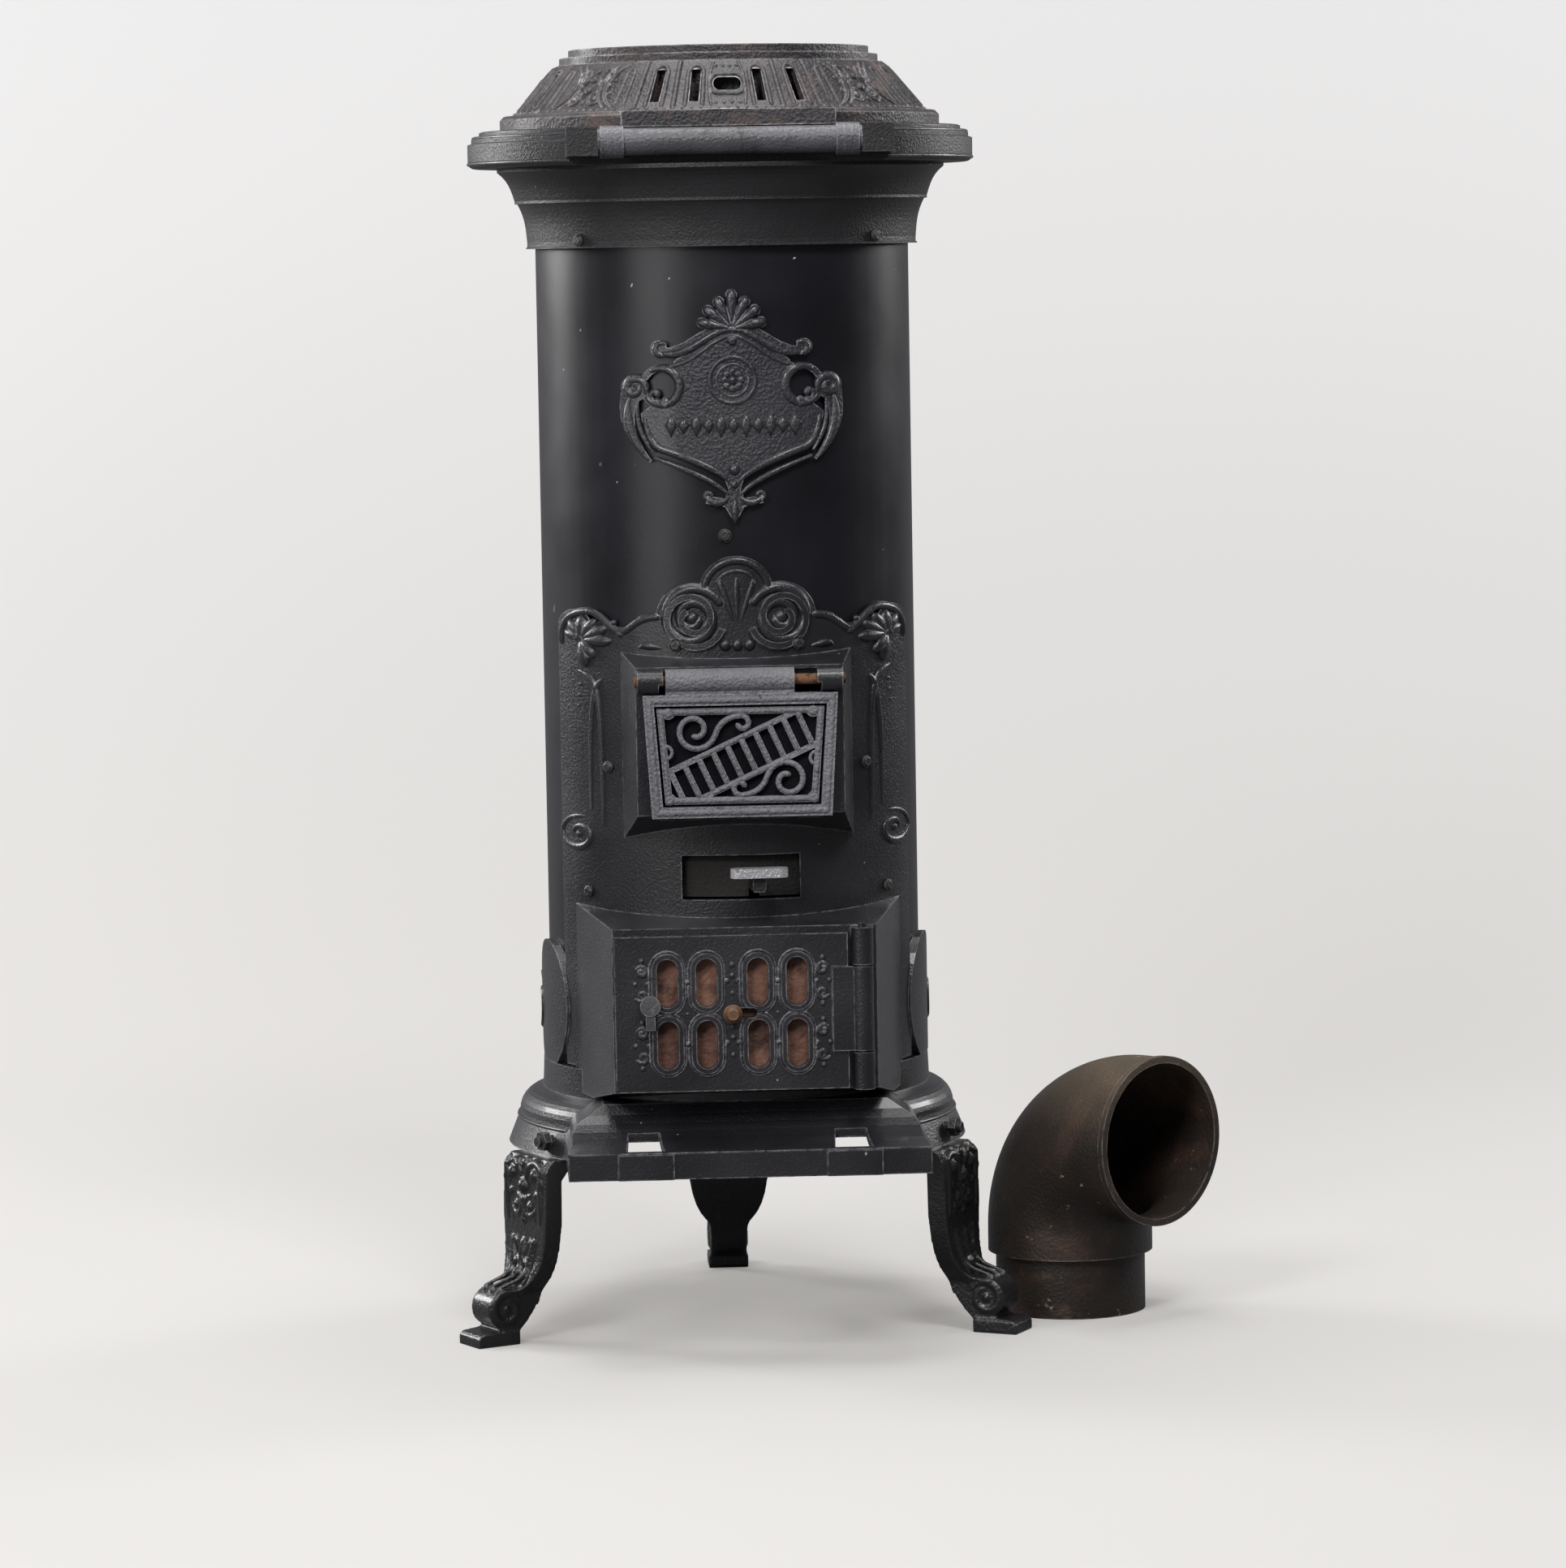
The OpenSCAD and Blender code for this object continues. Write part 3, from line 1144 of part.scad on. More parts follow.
// an upright length of the pipe, one that lies level, and the quarter bend between them
module pipe_wall(r0, r1, h) difference() {
    cylinder(r = r1, h = h);
    translate([0, 0, -1]) cylinder(r = r0, h = h + 2);
}
module elbow_bend() translate([bend_r, 0, elbow_step]) rotate([90, 0, 0]) rotate([0, 0, 90])
    rotate_extrude(angle = 90) translate([bend_r, 0]) difference() {
        circle(r = elbow_r);
        circle(r = elbow_in);
    }
module flue_elbow() color("#3a2a20") translate([elbow_away, -11, 0])
    rotate([0, 0, elbow_turn - 90]) {
        pipe_wall(spigot_r - elbow_wall, spigot_r, spigot_len);
        translate([0, 0, spigot_len]) pipe_wall(spigot_r - elbow_wall, elbow_r, elbow_wall);
        translate([0, 0, spigot_len + elbow_wall])
            pipe_wall(elbow_in, elbow_r, elbow_step - spigot_len - elbow_wall);
        elbow_bend();
        translate([bend_r, 0, elbow_step + bend_r]) rotate([0, 90, 0]) difference() {
            union() {
                cylinder(r = elbow_r, h = elbow_mouth);
                translate([0, 0, elbow_mouth - 5]) cylinder(r = elbow_r + 1.5, h = 5);
            }
            translate([0, 0, -1]) cylinder(r = elbow_in, h = elbow_mouth + 2);
        }
    }

base_casting();
front_left_leg();
front_right_leg();
rear_leg();
leg_bolts();
leg_nuts();
bottom_plate();
ash_pan();
jacket();
jacket_back();
seam_rivets();
front_plate();
plate_screws();
grate_stand();
grate();
shaker_lever();
shaker_knob();
slot_shield();
fire_pot();
fire_lining();
heat_plate();
tie_rods();
tie_rod_nuts();
flue_collar();
flue_collar_screws();
shield_badge();
badge_rivets();
jacket_screw();
fuel_door_frame();
fuel_door_grille();
fuel_door_backplate();
fuel_door_rivets();
fuel_door_hinge_pin();
ash_door();
ash_door_hinge_pin();
air_slide();
air_slide_knob();
ash_door_latch();
latch_keeper();
neck_casting();
neck_screws();
rim();
hand_bar();
bar_collars();
crown();
top_ring();
top_lid();
flue_elbow();
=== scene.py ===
"""Looks of the round column stove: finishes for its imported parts, and the relief cast on them.

Lengths are metres, in the stove's own frame: +Z up, doors towards -Y. Drawings are in millimetres.
"""

import math

import bmesh
import bpy
from mathutils import Matrix, Vector


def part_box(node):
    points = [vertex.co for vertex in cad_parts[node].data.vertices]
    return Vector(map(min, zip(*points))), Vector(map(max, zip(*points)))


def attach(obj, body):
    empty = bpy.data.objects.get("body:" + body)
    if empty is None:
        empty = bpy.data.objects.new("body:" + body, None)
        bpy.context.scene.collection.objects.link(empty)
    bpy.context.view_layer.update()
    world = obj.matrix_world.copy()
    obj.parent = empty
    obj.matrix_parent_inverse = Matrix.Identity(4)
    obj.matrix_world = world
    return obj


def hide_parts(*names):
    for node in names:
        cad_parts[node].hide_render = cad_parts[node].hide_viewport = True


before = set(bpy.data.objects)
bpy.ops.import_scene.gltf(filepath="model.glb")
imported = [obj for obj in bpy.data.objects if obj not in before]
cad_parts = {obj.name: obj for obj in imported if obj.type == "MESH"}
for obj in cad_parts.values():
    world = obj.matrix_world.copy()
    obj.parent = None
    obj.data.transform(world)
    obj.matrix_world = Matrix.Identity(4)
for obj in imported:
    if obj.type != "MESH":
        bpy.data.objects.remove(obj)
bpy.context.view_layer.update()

MM = 0.001
STOVE = "stove"

# ---- sizes in millimetres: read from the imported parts, or the same as in the part's source ----


def low(node, axis):
    """The least x, y or z of a piece."""
    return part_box(node)[0][axis] / MM


def high(node, axis):
    """The greatest x, y or z of a piece."""
    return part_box(node)[1][axis] / MM


JACKET_R = high("jacket", 0)
JACKET_TOP = high("jacket", 2)
CASTING_OUT = 4.3  # how far the front plate and the badge stand out of the jacket
PLATE_R = JACKET_R + CASTING_OUT
BASE_Z = low("base_casting", 2)
BASE_R = 176.0
RAIL_D = JACKET_R + 77.0
RAIL_TOP = BASE_Z + 20.0
RAIL_HALF = 134.0
BADGE_Z = JACKET_TOP - 127.0
BADGE_R = JACKET_R + CASTING_OUT
LOZENGE_STEP = 9.2
LOZENGE_Z = -17
FUEL_TOP = 514.0
FUEL_BOX_D = JACKET_R + 28.0
SHOULDER_Z = FUEL_TOP + 39.0
DOOR_Z = (low("fuel_door_backplate", 2) + high("fuel_door_backplate", 2)) / 2
GRILLE_D = -low("fuel_door_grille", 1)
FRAME_D = FUEL_BOX_D + 12.3  # the face of the fuel door's border
DOOR_HALVES = (66.5, 72.0, 45.5)  # half its width at the foot and at the top, and half its height
DOOR_BORDER = 12.6
EAR_Z = 246
PER_RADIAN = 57.3  # degrees
ASH_D = 185.3
AIR_COLUMNS = (-58.0, -29.0, 9.0, 38.0)
AIR_ROWS = (235.0, 281.0)
AIR_MIDDLE = -10.0
KNOB_WAY = (-18.0, 8.6)  # what the air slide's knob sweeps from side to side
KNOB_CLEAR = 4.9
RIM_Z = low("rim", 2)
RIM_TOP = high("rim", 2)
RIM_R = 192.0
BRACKET_D = 151.0
CROWN_Z = low("crown", 2)
CROWN_TOP = high("crown", 2)
CROWN_FOOT_R = 167.0
CROWN_TOP_R = 124.0
CROWN_DRAWN_R = 145.0  # the radius at which the crown's drawings keep their width
LEG_ANGLES = (-62.0, 62.0, 180.0)
LEG_NODES = ("front_left_leg", "front_right_leg", "rear_leg")
FOOT_R = 220.0

# ---- drawing: points in millimetres on a flat sheet ----


def arc(cx, cy, r, start, end, n=12):
    """Points of a circle's arc, from one angle in degrees to the other."""
    return [(cx + r * math.cos(math.radians(start + (end - start) * i / n)),
             cy + r * math.sin(math.radians(start + (end - start) * i / n))) for i in range(n + 1)]


def curve(p, q, r, s, n=12):
    """Points of a cubic curve from p to s, drawn towards q and r on the way."""
    points = []
    for i in range(n + 1):
        t = i / n
        u = 1 - t
        points.append(tuple(u ** 3 * p[k] + 3 * u * u * t * q[k] + 3 * u * t * t * r[k] + t ** 3 * s[k]
                            for k in (0, 1)))
    return points


def spiral(cx, cy, r_out, r_in, start, turns, n=40):
    """Points of a spiral that winds inwards; positive turns go counter-clockwise."""
    points = []
    for i in range(n + 1):
        t = i / n
        a = math.radians(start + 360 * turns * t)
        r = r_out + (r_in - r_out) * t
        points.append((cx + r * math.cos(a), cy + r * math.sin(a)))
    return points


def both(points):
    """A path and its mirror image."""
    return [points, [(-x, y) for x, y in points]]


def moved(points, dx, dy, angle=0.0):
    """The points turned by that many degrees, and then shifted."""
    c, s = math.cos(math.radians(angle)), math.sin(math.radians(angle))
    return [(dx + (x * c - y * s), dy + (x * s + y * c)) for x, y in points]


def swell(n, thin, thick, peak=0.5):
    """Half-widths along a stroke of n points: thin at its ends and thick at its peak."""
    out = []
    for i in range(n):
        t = i / (n - 1)
        u = t / peak if t < peak else (1 - t) / (1 - peak)
        out.append(thin + (thick - thin) * math.sin(max(0.0, min(1.0, u)) * math.pi / 2))
    return out


def pair(points, thin, thick, peak=0.5):
    """A swelling stroke and its mirror image."""
    return [(p, swell(len(p), thin, thick, peak)) for p in both(points)]


# ---- surfaces: where a drawn point lies on the stove ----


def around(radius, angle, z):
    """A point round the column, in metres; the angle is in radians from straight ahead."""
    return Vector((radius * math.sin(angle), -radius * math.cos(angle), z)) * MM


def open_ring(radius, z, start, n=96):
    """A ring that is open in front, up to that angle in degrees on either side."""
    return [around(radius, math.radians(start + (360 - 2 * start) * i / n), z) for i in range(n + 1)]


def on_column(radius):
    """The upright column of that radius, drawn from the front."""
    def place(x, z, h=0.0):
        return around(radius + h, math.asin(max(-1.0, min(1.0, x / radius))), z)
    return place


def round_column(radius_at):
    """A turned surface; x is the angle in degrees from straight ahead, and radius_at(z) its radius."""
    def place(x, z, h=0.0):
        slope = radius_at(z + 0.5) - radius_at(z - 0.5)
        tilt = 1 / math.sqrt(1 + slope * slope)
        return around(radius_at(z) + h * tilt, math.radians(x), z - h * slope * tilt)
    return place


def on_front(depth):
    """A flat face that looks to the front, at that depth."""
    def place(x, z, h=0.0):
        return Vector((x, -(depth + h), z)) * MM
    return place


# ---- meshes ----


def added(name, data):
    """A new object in the scene."""
    obj = bpy.data.objects.new(name, data)
    bpy.context.scene.collection.objects.link(obj)
    return obj


def smooth_object(name, bm):
    """A new object of what is in bm, shaded smooth."""
    mesh = bpy.data.meshes.new(name)
    bm.to_mesh(mesh)
    bm.free()
    for p in mesh.polygons:
        p.use_smooth = True
    return added(name, mesh)


def as_object(name, bm):
    """The same, with its faces turned outwards first."""
    bmesh.ops.recalc_face_normals(bm, faces=bm.faces)
    return smooth_object(name, bm)


def coated(mesh, material):
    """Gives a mesh that material and no other."""
    mesh.materials.clear()
    mesh.materials.append(material)


def settle(obj, body, material=None):
    """Gives a finished piece its body and its slot, and its finish where one is named."""
    if material:
        coated(obj.data, material)
    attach(obj, body)


def baked(obj, name):
    """A plain mesh of what the object's modifiers make, and the object itself removed."""
    dg = bpy.context.evaluated_depsgraph_get()
    mesh = bpy.data.meshes.new_from_object(obj.evaluated_get(dg))
    bpy.data.objects.remove(obj)
    return added(name, mesh)


class Tree:
    """A few words for building a node tree."""

    def __init__(self, tree):
        self.tree = tree

    def add(self, kind, *values, **settings):
        """A new node. A setting is one of its properties, or else an input; values are for the inputs
        in their order. Each may be another node's output."""
        node = self.tree.nodes.new(kind)
        for key, value in settings.items():
            if hasattr(node, key):
                setattr(node, key, value)
            else:
                self.put(value, node.inputs[key.replace("_", " ")])
        for socket, value in zip(node.inputs, values):
            self.put(value, socket)
        return node

    def put(self, value, socket):
        """Sets an input, or links it where the value is a node's output."""
        if isinstance(value, bpy.types.NodeSocket):
            self.tree.links.new(value, socket)
        else:
            socket.default_value = value

    def place(self):
        """Where a point lies on its object."""
        return self.add("ShaderNodeTexCoord").outputs["Object"]

    def math(self, operation, first, second):
        return self.add("ShaderNodeMath", first, second, operation=operation).outputs["Value"]

    def ramp(self, value, low_end, high_end, **settings):
        """0 up to the low end, 1 from the high end on, and a slope between them."""
        node = self.add("ShaderNodeMapRange", Value=value, From_Min=low_end, From_Max=high_end, **settings)
        return node.outputs["Result"]

    def ends(self):
        """What a group is given, and what it gives."""
        return self.add("NodeGroupInput").outputs, self.add("NodeGroupOutput").inputs


def relief_tree(name, count):
    """An empty geometry tree with the sockets of both kinds of relief, and its two ends."""
    tree = bpy.data.node_groups.new(name, "GeometryNodeTree")
    for label, kind in (("Geometry", "NodeSocketGeometry"), (count, "NodeSocketInt"),
                        ("Finish", "NodeSocketMaterial")):
        tree.interface.new_socket(label, in_out="INPUT", socket_type=kind)
    tree.interface.new_socket("Geometry", in_out="OUTPUT", socket_type="NodeSocketGeometry")
    t = Tree(tree)
    return t, *t.ends()


def ridge_tree():
    """Geometry nodes: round bars along the drawn lines, as thick as each point says."""
    t, given, out = relief_tree("cast_ridges", "Sides")
    lines = t.add("GeometryNodeMeshToCurve", Mesh=given["Geometry"])
    thick = t.add("GeometryNodeInputNamedAttribute", data_type="FLOAT", Name="half_width")
    section = t.add("GeometryNodeCurvePrimitiveCircle", Resolution=given["Sides"], Radius=1.0)
    sweep = t.add("GeometryNodeCurveToMesh", Curve=lines.outputs["Curve"], Fill_Caps=True,
                  Profile_Curve=section.outputs["Curve"], Scale=thick.outputs["Attribute"])
    return finished_tree(t, given, out, sweep.outputs["Mesh"])


def bead_tree():
    """Geometry nodes: a small round boss on every point, as large as the point says."""
    t, given, out = relief_tree("cast_beads", "Fineness")
    size = t.add("GeometryNodeInputNamedAttribute", data_type="FLOAT", Name="half_width")
    ball = t.add("GeometryNodeMeshIcoSphere", Radius=1.0, Subdivisions=given["Fineness"])
    spread = t.add("GeometryNodeInstanceOnPoints", Points=given["Geometry"],
                   Instance=ball.outputs["Mesh"], Scale=size.outputs["Attribute"])
    return finished_tree(t, given, out, spread.outputs["Instances"])


def finished_tree(t, given, out, geometry):
    """The end of both trees: a real mesh, shaded smooth, with its finish."""
    real = t.add("GeometryNodeRealizeInstances", Geometry=geometry)
    shade = t.add("GeometryNodeSetShadeSmooth", Geometry=real.outputs["Geometry"])
    finish = t.add("GeometryNodeSetMaterial", Geometry=shade.outputs["Geometry"], Material=given["Finish"])
    t.put(finish.outputs["Geometry"], out["Geometry"])
    return t.tree


def by_nodes(name, points, edges, widths, tree, count, material):
    """Runs one of the two trees on a set of points, and returns the plain mesh that it makes."""
    mesh = bpy.data.meshes.new(name)
    mesh.from_pydata(points, edges, [])
    attribute = mesh.attributes.new("half_width", "FLOAT", "POINT")
    attribute.data.foreach_set("value", widths)
    obj = added(name + "_lines", mesh)
    modifier = obj.modifiers.new("nodes", "NODES")
    modifier.node_group = tree
    ids = {s.name: s.identifier for s in tree.interface.items_tree if s.in_out == "INPUT"}
    modifier[ids["Sides" if "Sides" in ids else "Fineness"]] = count
    modifier[ids["Finish"]] = material
    return baked(obj, name)


RIDGE_SIDES = 8
BEAD_FINENESS = 2
ROUND_END_ANGLES = (80, 55, 28)


def cast_ridges(name, strokes, place, material, sink=0.35, closed=()):
    """Raised lines of a casting. A stroke is (points, half-width or half-widths); it lies sunk by a
    share of its half-width, and its ends are drawn in to a round."""
    points, edges, widths = [], [], []
    for k, (path, half) in enumerate(strokes):
        n = len(path)
        halves = list(half) if hasattr(half, "__len__") else [half] * n
        ring = k in closed
        rows = list(zip(path, halves))
        if not ring:
            rows = round_end(rows)[::-1]
            rows = round_end(rows)[::-1]
        first = len(points)
        for (x, z), w in rows:
            points.append(place(x, z, -w * sink))
            widths.append(w * MM)
        edges += [(first + i, first + i + 1) for i in range(len(rows) - 1)]
        if ring:
            edges.append((len(points) - 1, first))
    return by_nodes(name, points, edges, widths, RIDGES, RIDGE_SIDES, material)


def free_lines(name, strokes):
    """Raised lines through points in space, on the stove. A stroke is (points in metres, half-width in
    millimetres)."""
    points, edges, widths = [], [], []
    for path, half in strokes:
        first = len(points)
        points += path
        widths += [half * MM] * len(path)
        edges += [(first + i, first + i + 1) for i in range(len(path) - 1)]
    settle(by_nodes(name, points, edges, widths, RIDGES, RIDGE_SIDES, BLACK), STOVE)


def round_end(rows):
    """Adds the points that draw a stroke in at its start."""
    (x0, z0), w = rows[0]
    (x1, z1), _ = rows[1]
    length = math.hypot(x0 - x1, z0 - z1) or 1.0
    ux, uz = (x0 - x1) / length, (z0 - z1) / length
    ends = [((x0 + ux * w * math.sin(a), z0 + uz * w * math.sin(a)), w * math.cos(a))
            for a in map(math.radians, ROUND_END_ANGLES)]
    return ends + rows


def cast_beads(name, beads, place, material, sink=0.3):
    """Raised round bosses. A bead is (x, z, radius)."""
    points = [place(x, z, -r * sink) for x, z, r in beads]
    return by_nodes(name, points, [], [r * MM for _, _, r in beads], BEADS, BEAD_FINENESS, material)


def cast_pads(name, pads, place, rings=4, depth=1.0):
    """Raised pillows. A pad is (outline, height): its middle stands out by height, and it reaches
    depth into the surface."""
    bm = bmesh.new()
    for outline, height in pads:
        n = len(outline)
        cx, cy = (sum(p[k] for p in outline) / n for k in (0, 1))
        rows = [[bm.verts.new(place(x, y, -depth)) for x, y in outline]]
        for i in range(rings):
            a = math.pi / 2 * i / rings
            share, lift = math.cos(a), height * math.sin(a)
            rows.append([bm.verts.new(place(cx + (x - cx) * share, cy + (y - cy) * share, lift))
                         for x, y in outline])
        tip = bm.verts.new(place(cx, cy, height))
        back = bm.verts.new(place(cx, cy, -depth))
        for low_row, high_row in zip(rows, rows[1:]):
            for i in range(n):
                j = (i + 1) % n
                bm.faces.new((low_row[i], low_row[j], high_row[j], high_row[i]))
        for i in range(n):
            j = (i + 1) % n
            bm.faces.new((rows[-1][i], rows[-1][j], tip))
            bm.faces.new((rows[0][j], rows[0][i], back))
    return as_object(name, bm)


def joined(name, objects):
    """One object of several that ride on the same body; settle() gives it its finish."""
    bm = bmesh.new()
    for o in objects:
        bm.from_mesh(o.data)
        bpy.data.objects.remove(o)
    for f in bm.faces:
        f.material_index = 0
    return smooth_object(name, bm)


# ---- shader effects that several finishes use ----


def effect(name, inputs, outputs):
    """An empty shader group with float inputs, given with their defaults, and its outputs."""
    tree = bpy.data.node_groups.new(name, "ShaderNodeTree")
    for label, value in inputs:
        socket = tree.interface.new_socket(label, in_out="INPUT", socket_type="NodeSocketFloat")
        socket.default_value = value
    for label in outputs:
        tree.interface.new_socket(label, in_out="OUTPUT", socket_type="NodeSocketFloat")
    t = Tree(tree)
    return t, *t.ends()


def cast_grain_effect():
    """The pitted, sandy skin of a casting: its height, and a slow unevenness."""
    t, given, out = effect("cast_grain", [("Scale", 400.0), ("Pits", 0.5)], ["Height", "Uneven"])
    place = t.place()
    sand = t.add("ShaderNodeTexNoise", Vector=place, Scale=given["Scale"], Detail=5.0, Roughness=0.62)
    pits = t.add("ShaderNodeTexVoronoi", feature="SMOOTH_F1", Vector=place, Scale=given["Scale"],
                 Smoothness=0.6)
    slow = t.add("ShaderNodeTexNoise", Vector=place, Scale=14.0, Detail=3.0)
    depth = t.math("MULTIPLY", pits.outputs["Distance"], given["Pits"])
    t.put(t.math("ADD", sand.outputs["Fac"], depth), out["Height"])
    t.put(slow.outputs["Fac"], out["Uneven"])
    return t.tree


def edge_wear_and_highlight_effect():
    """Where handling has rubbed the edges, and where a painted highlight lies along them: 1 on an edge,
    broken up by a fine noise.
    """
    t, given, out = effect("edge_wear_and_highlight", [("Radius", 0.0012), ("Start", 0.02), ("Full", 0.2)], ["Wear_and_highlight"])
    rounded = t.add("ShaderNodeBevel", samples=4, Radius=given["Radius"])
    surface = t.add("ShaderNodeNewGeometry")
    turn = t.add("ShaderNodeVectorMath", rounded.outputs["Normal"], surface.outputs["Normal"],
                 operation="DOT_PRODUCT")
    edge = t.ramp(t.math("SUBTRACT", 1.0, turn.outputs["Value"]), given["Start"], given["Full"])
    noise = t.add("ShaderNodeTexNoise", Vector=t.place(), Scale=160.0, Detail=4.0)
    t.put(t.math("MULTIPLY", edge, t.ramp(noise.outputs["Fac"], 0.32, 0.6)), out["Wear_and_highlight"])
    return t.tree


def patches_effect():
    """Ragged patches, such as rust or bare metal: 1 inside a patch."""
    t, given, out = effect("patches", [("Scale", 20.0), ("Cover", 0.4), ("Softness", 0.08)], ["Patch"])
    noise = t.add("ShaderNodeTexNoise", Vector=t.place(), Scale=given["Scale"], Detail=6.0,
                  Roughness=0.68, Distortion=0.4)
    start = t.math("SUBTRACT", 0.74, t.math("MULTIPLY", given["Cover"], 0.48))
    end = t.math("ADD", start, given["Softness"])
    t.put(t.ramp(noise.outputs["Fac"], start, end), out["Patch"])
    return t.tree


def flecks_effect():
    """Small scattered specks: 1 in a speck."""
    t, given, out = effect("flecks", [("Scale", 60.0), ("Size", 0.1), ("Share", 0.2)], ["Fleck"])
    place = t.place()
    warp = t.add("ShaderNodeTexNoise", Vector=place, Scale=90.0, Detail=2.0)
    shift = t.add("ShaderNodeVectorMath", warp.outputs["Color"], operation="SCALE", Scale=0.012)
    spot = t.add("ShaderNodeVectorMath", place, shift.outputs["Vector"], operation="ADD")
    cells = t.add("ShaderNodeTexVoronoi", Vector=spot.outputs["Vector"], Scale=given["Scale"])
    parts = t.add("ShaderNodeSeparateColor", Color=cells.outputs["Color"])
    near = t.math("LESS_THAN", cells.outputs["Distance"], given["Size"])
    chosen = t.math("LESS_THAN", parts.outputs["Red"], given["Share"])
    t.put(t.math("MULTIPLY", near, chosen), out["Fleck"])
    return t.tree


class Finish:
    """A surface built up in layers: a base, then colours and roughnesses laid over it by masks."""

    def __init__(self, name, colour, rough, metal=0.0, specular=0.5):
        self.material = bpy.data.materials.new(name)
        self.material.use_nodes = True
        self.t = Tree(self.material.node_tree)
        nodes = self.material.node_tree.nodes
        self.shader = nodes["Principled BSDF"]
        self.given(Metallic=metal, Specular_IOR_Level=specular)
        self.material.diffuse_color = (*colour, 1)
        self.colour, self.rough = (*colour, 1), rough
        self.bump = None

    def given(self, **values):
        """Sets or links inputs of the surface's shader."""
        for key, value in values.items():
            self.t.put(value, self.shader.inputs[key.replace("_", " ")])

    def over(self, mask, colour=None, rough=None):
        """Lays a colour and a roughness over what is there, where the mask says."""
        if colour:
            mix = self.t.add("ShaderNodeMix", data_type="RGBA", Factor=mask, A=self.colour, B=(*colour, 1))
            self.colour = mix.outputs["Result"]
        if rough is not None:
            mix = self.t.add("ShaderNodeMix", data_type="FLOAT", Factor=mask, A=self.rough, B=rough)
            self.rough = mix.outputs["Result"]
        return self

    def laid(self, tree, output, colour, rough, **values):
        """Lays a colour and a roughness over, where one of the effects says."""
        node = self.t.add("ShaderNodeGroup", node_tree=tree, **values)
        return self.over(node.outputs[output], colour, rough)

    def grain(self, scale, depth, pits=0.5, tint=None, rough=None):
        """The cast skin: its bump, with a depth in metres, and a slow change of tone."""
        node = self.t.add("ShaderNodeGroup", node_tree=GRAIN, Scale=scale, Pits=pits)
        bump = self.t.add("ShaderNodeBump", Distance=depth, Strength=1.0, Height=node.outputs["Height"])
        self.bump = bump.outputs["Normal"]
        return self.over(self.t.ramp(node.outputs["Uneven"], 0.35, 0.7), tint, rough)

    def worn_and_highlit(self, colour, rough=0.35, radius=0.0012, full=0.2):
        """The rubbed edges; in some finishes they are light enough to stand partly for painted highlights."""
        return self.laid(WEAR_AND_HIGHLIGHT, "Wear_and_highlight", colour, rough, Radius=radius, Full=full)

    def patches(self, colour, scale, cover, softness, rough=None):
        return self.laid(PATCHES, "Patch", colour, rough, Scale=scale, Cover=cover, Softness=softness)

    def flecks(self, colour, scale, size, share):
        return self.laid(FLECKS, "Fleck", colour, 0.6, Scale=scale, Size=size, Share=share)

    def painted_top_light(self, colour, z_low, z_high, share):
        """A lighter colour on the upper part, between two heights in metres: painted light falling from
        above.
        """
        parts = self.t.add("ShaderNodeSeparateXYZ", Vector=self.t.place())
        return self.over(self.t.ramp(parts.outputs["Z"], z_low, z_high, To_Max=share), colour)

    def glossed(self, weight, rough):
        """A thin shiny skin, as on blackened iron that has been rubbed."""
        self.given(Coat_Weight=weight, Coat_Roughness=rough)
        return self

    def done(self):
        """The material."""
        self.given(Base_Color=self.colour, Roughness=self.rough, Normal=self.bump)
        return self.material


# ---- finishes ----

GRAIN = cast_grain_effect()
WEAR_AND_HIGHLIGHT = edge_wear_and_highlight_effect()
PATCHES = patches_effect()
FLECKS = flecks_effect()
RIDGES = ridge_tree()
BEADS = bead_tree()

BLACK = (
    Finish("blackened_casting", (0.0105, 0.010, 0.0125), 0.30)
    .grain(520.0, 0.00045, tint=(0.021, 0.020, 0.023), rough=0.42)
    .patches((0.030, 0.028, 0.029), scale=34.0, cover=0.20, softness=0.2)
    # light edges: rubbed iron, made brighter to be partly painted highlights along the edges
    .worn_and_highlit((0.27, 0.26, 0.28), 0.28, radius=0.0018, full=0.16)
    .glossed(0.30, 0.16)
    .flecks((0.34, 0.33, 0.33), scale=110.0, size=0.08, share=0.06)
    .done())

JACKET = (
    Finish("jacket_sheet", (0.0055, 0.0055, 0.0075), 0.30)
    .grain(900.0, 0.00006, pits=0.2, tint=(0.009, 0.009, 0.013), rough=0.38)
    # lighter bluish patches: painted sheen on the sheet
    .patches((0.022, 0.0215, 0.031), scale=8.0, cover=0.30, softness=0.3)
    .flecks((0.34, 0.34, 0.36), scale=75.0, size=0.065, share=0.10)
    .flecks((0.060, 0.058, 0.068), scale=30.0, size=0.10, share=0.20)
    .done())

BADGE = (
    Finish("badge_casting", (0.018, 0.0175, 0.023), 0.30)
    .grain(430.0, 0.0009, pits=0.7, tint=(0.036, 0.035, 0.041), rough=0.42)
    # light edges: rubbed iron, made brighter to be partly painted highlights on the scrolls
    .worn_and_highlit((0.42, 0.41, 0.44), 0.24, radius=0.0016, full=0.14)
    .glossed(0.45, 0.13)
    .done())

# the neck and the rim: the same iron, less rubbed on its edges
PLAIN = (
    Finish("plain_casting", (0.0105, 0.0095, 0.0105), 0.40)
    .grain(520.0, 0.0004, tint=(0.018, 0.016, 0.018), rough=0.50)
    # lighter patches: painted sheen on the neck and the rim
    .patches((0.042, 0.039, 0.045), scale=13.0, cover=0.30, softness=0.3, rough=0.34)
    .worn_and_highlit((0.075, 0.072, 0.078), 0.36, radius=0.0012)
    .flecks((0.30, 0.29, 0.28), scale=110.0, size=0.07, share=0.06)
    .done())

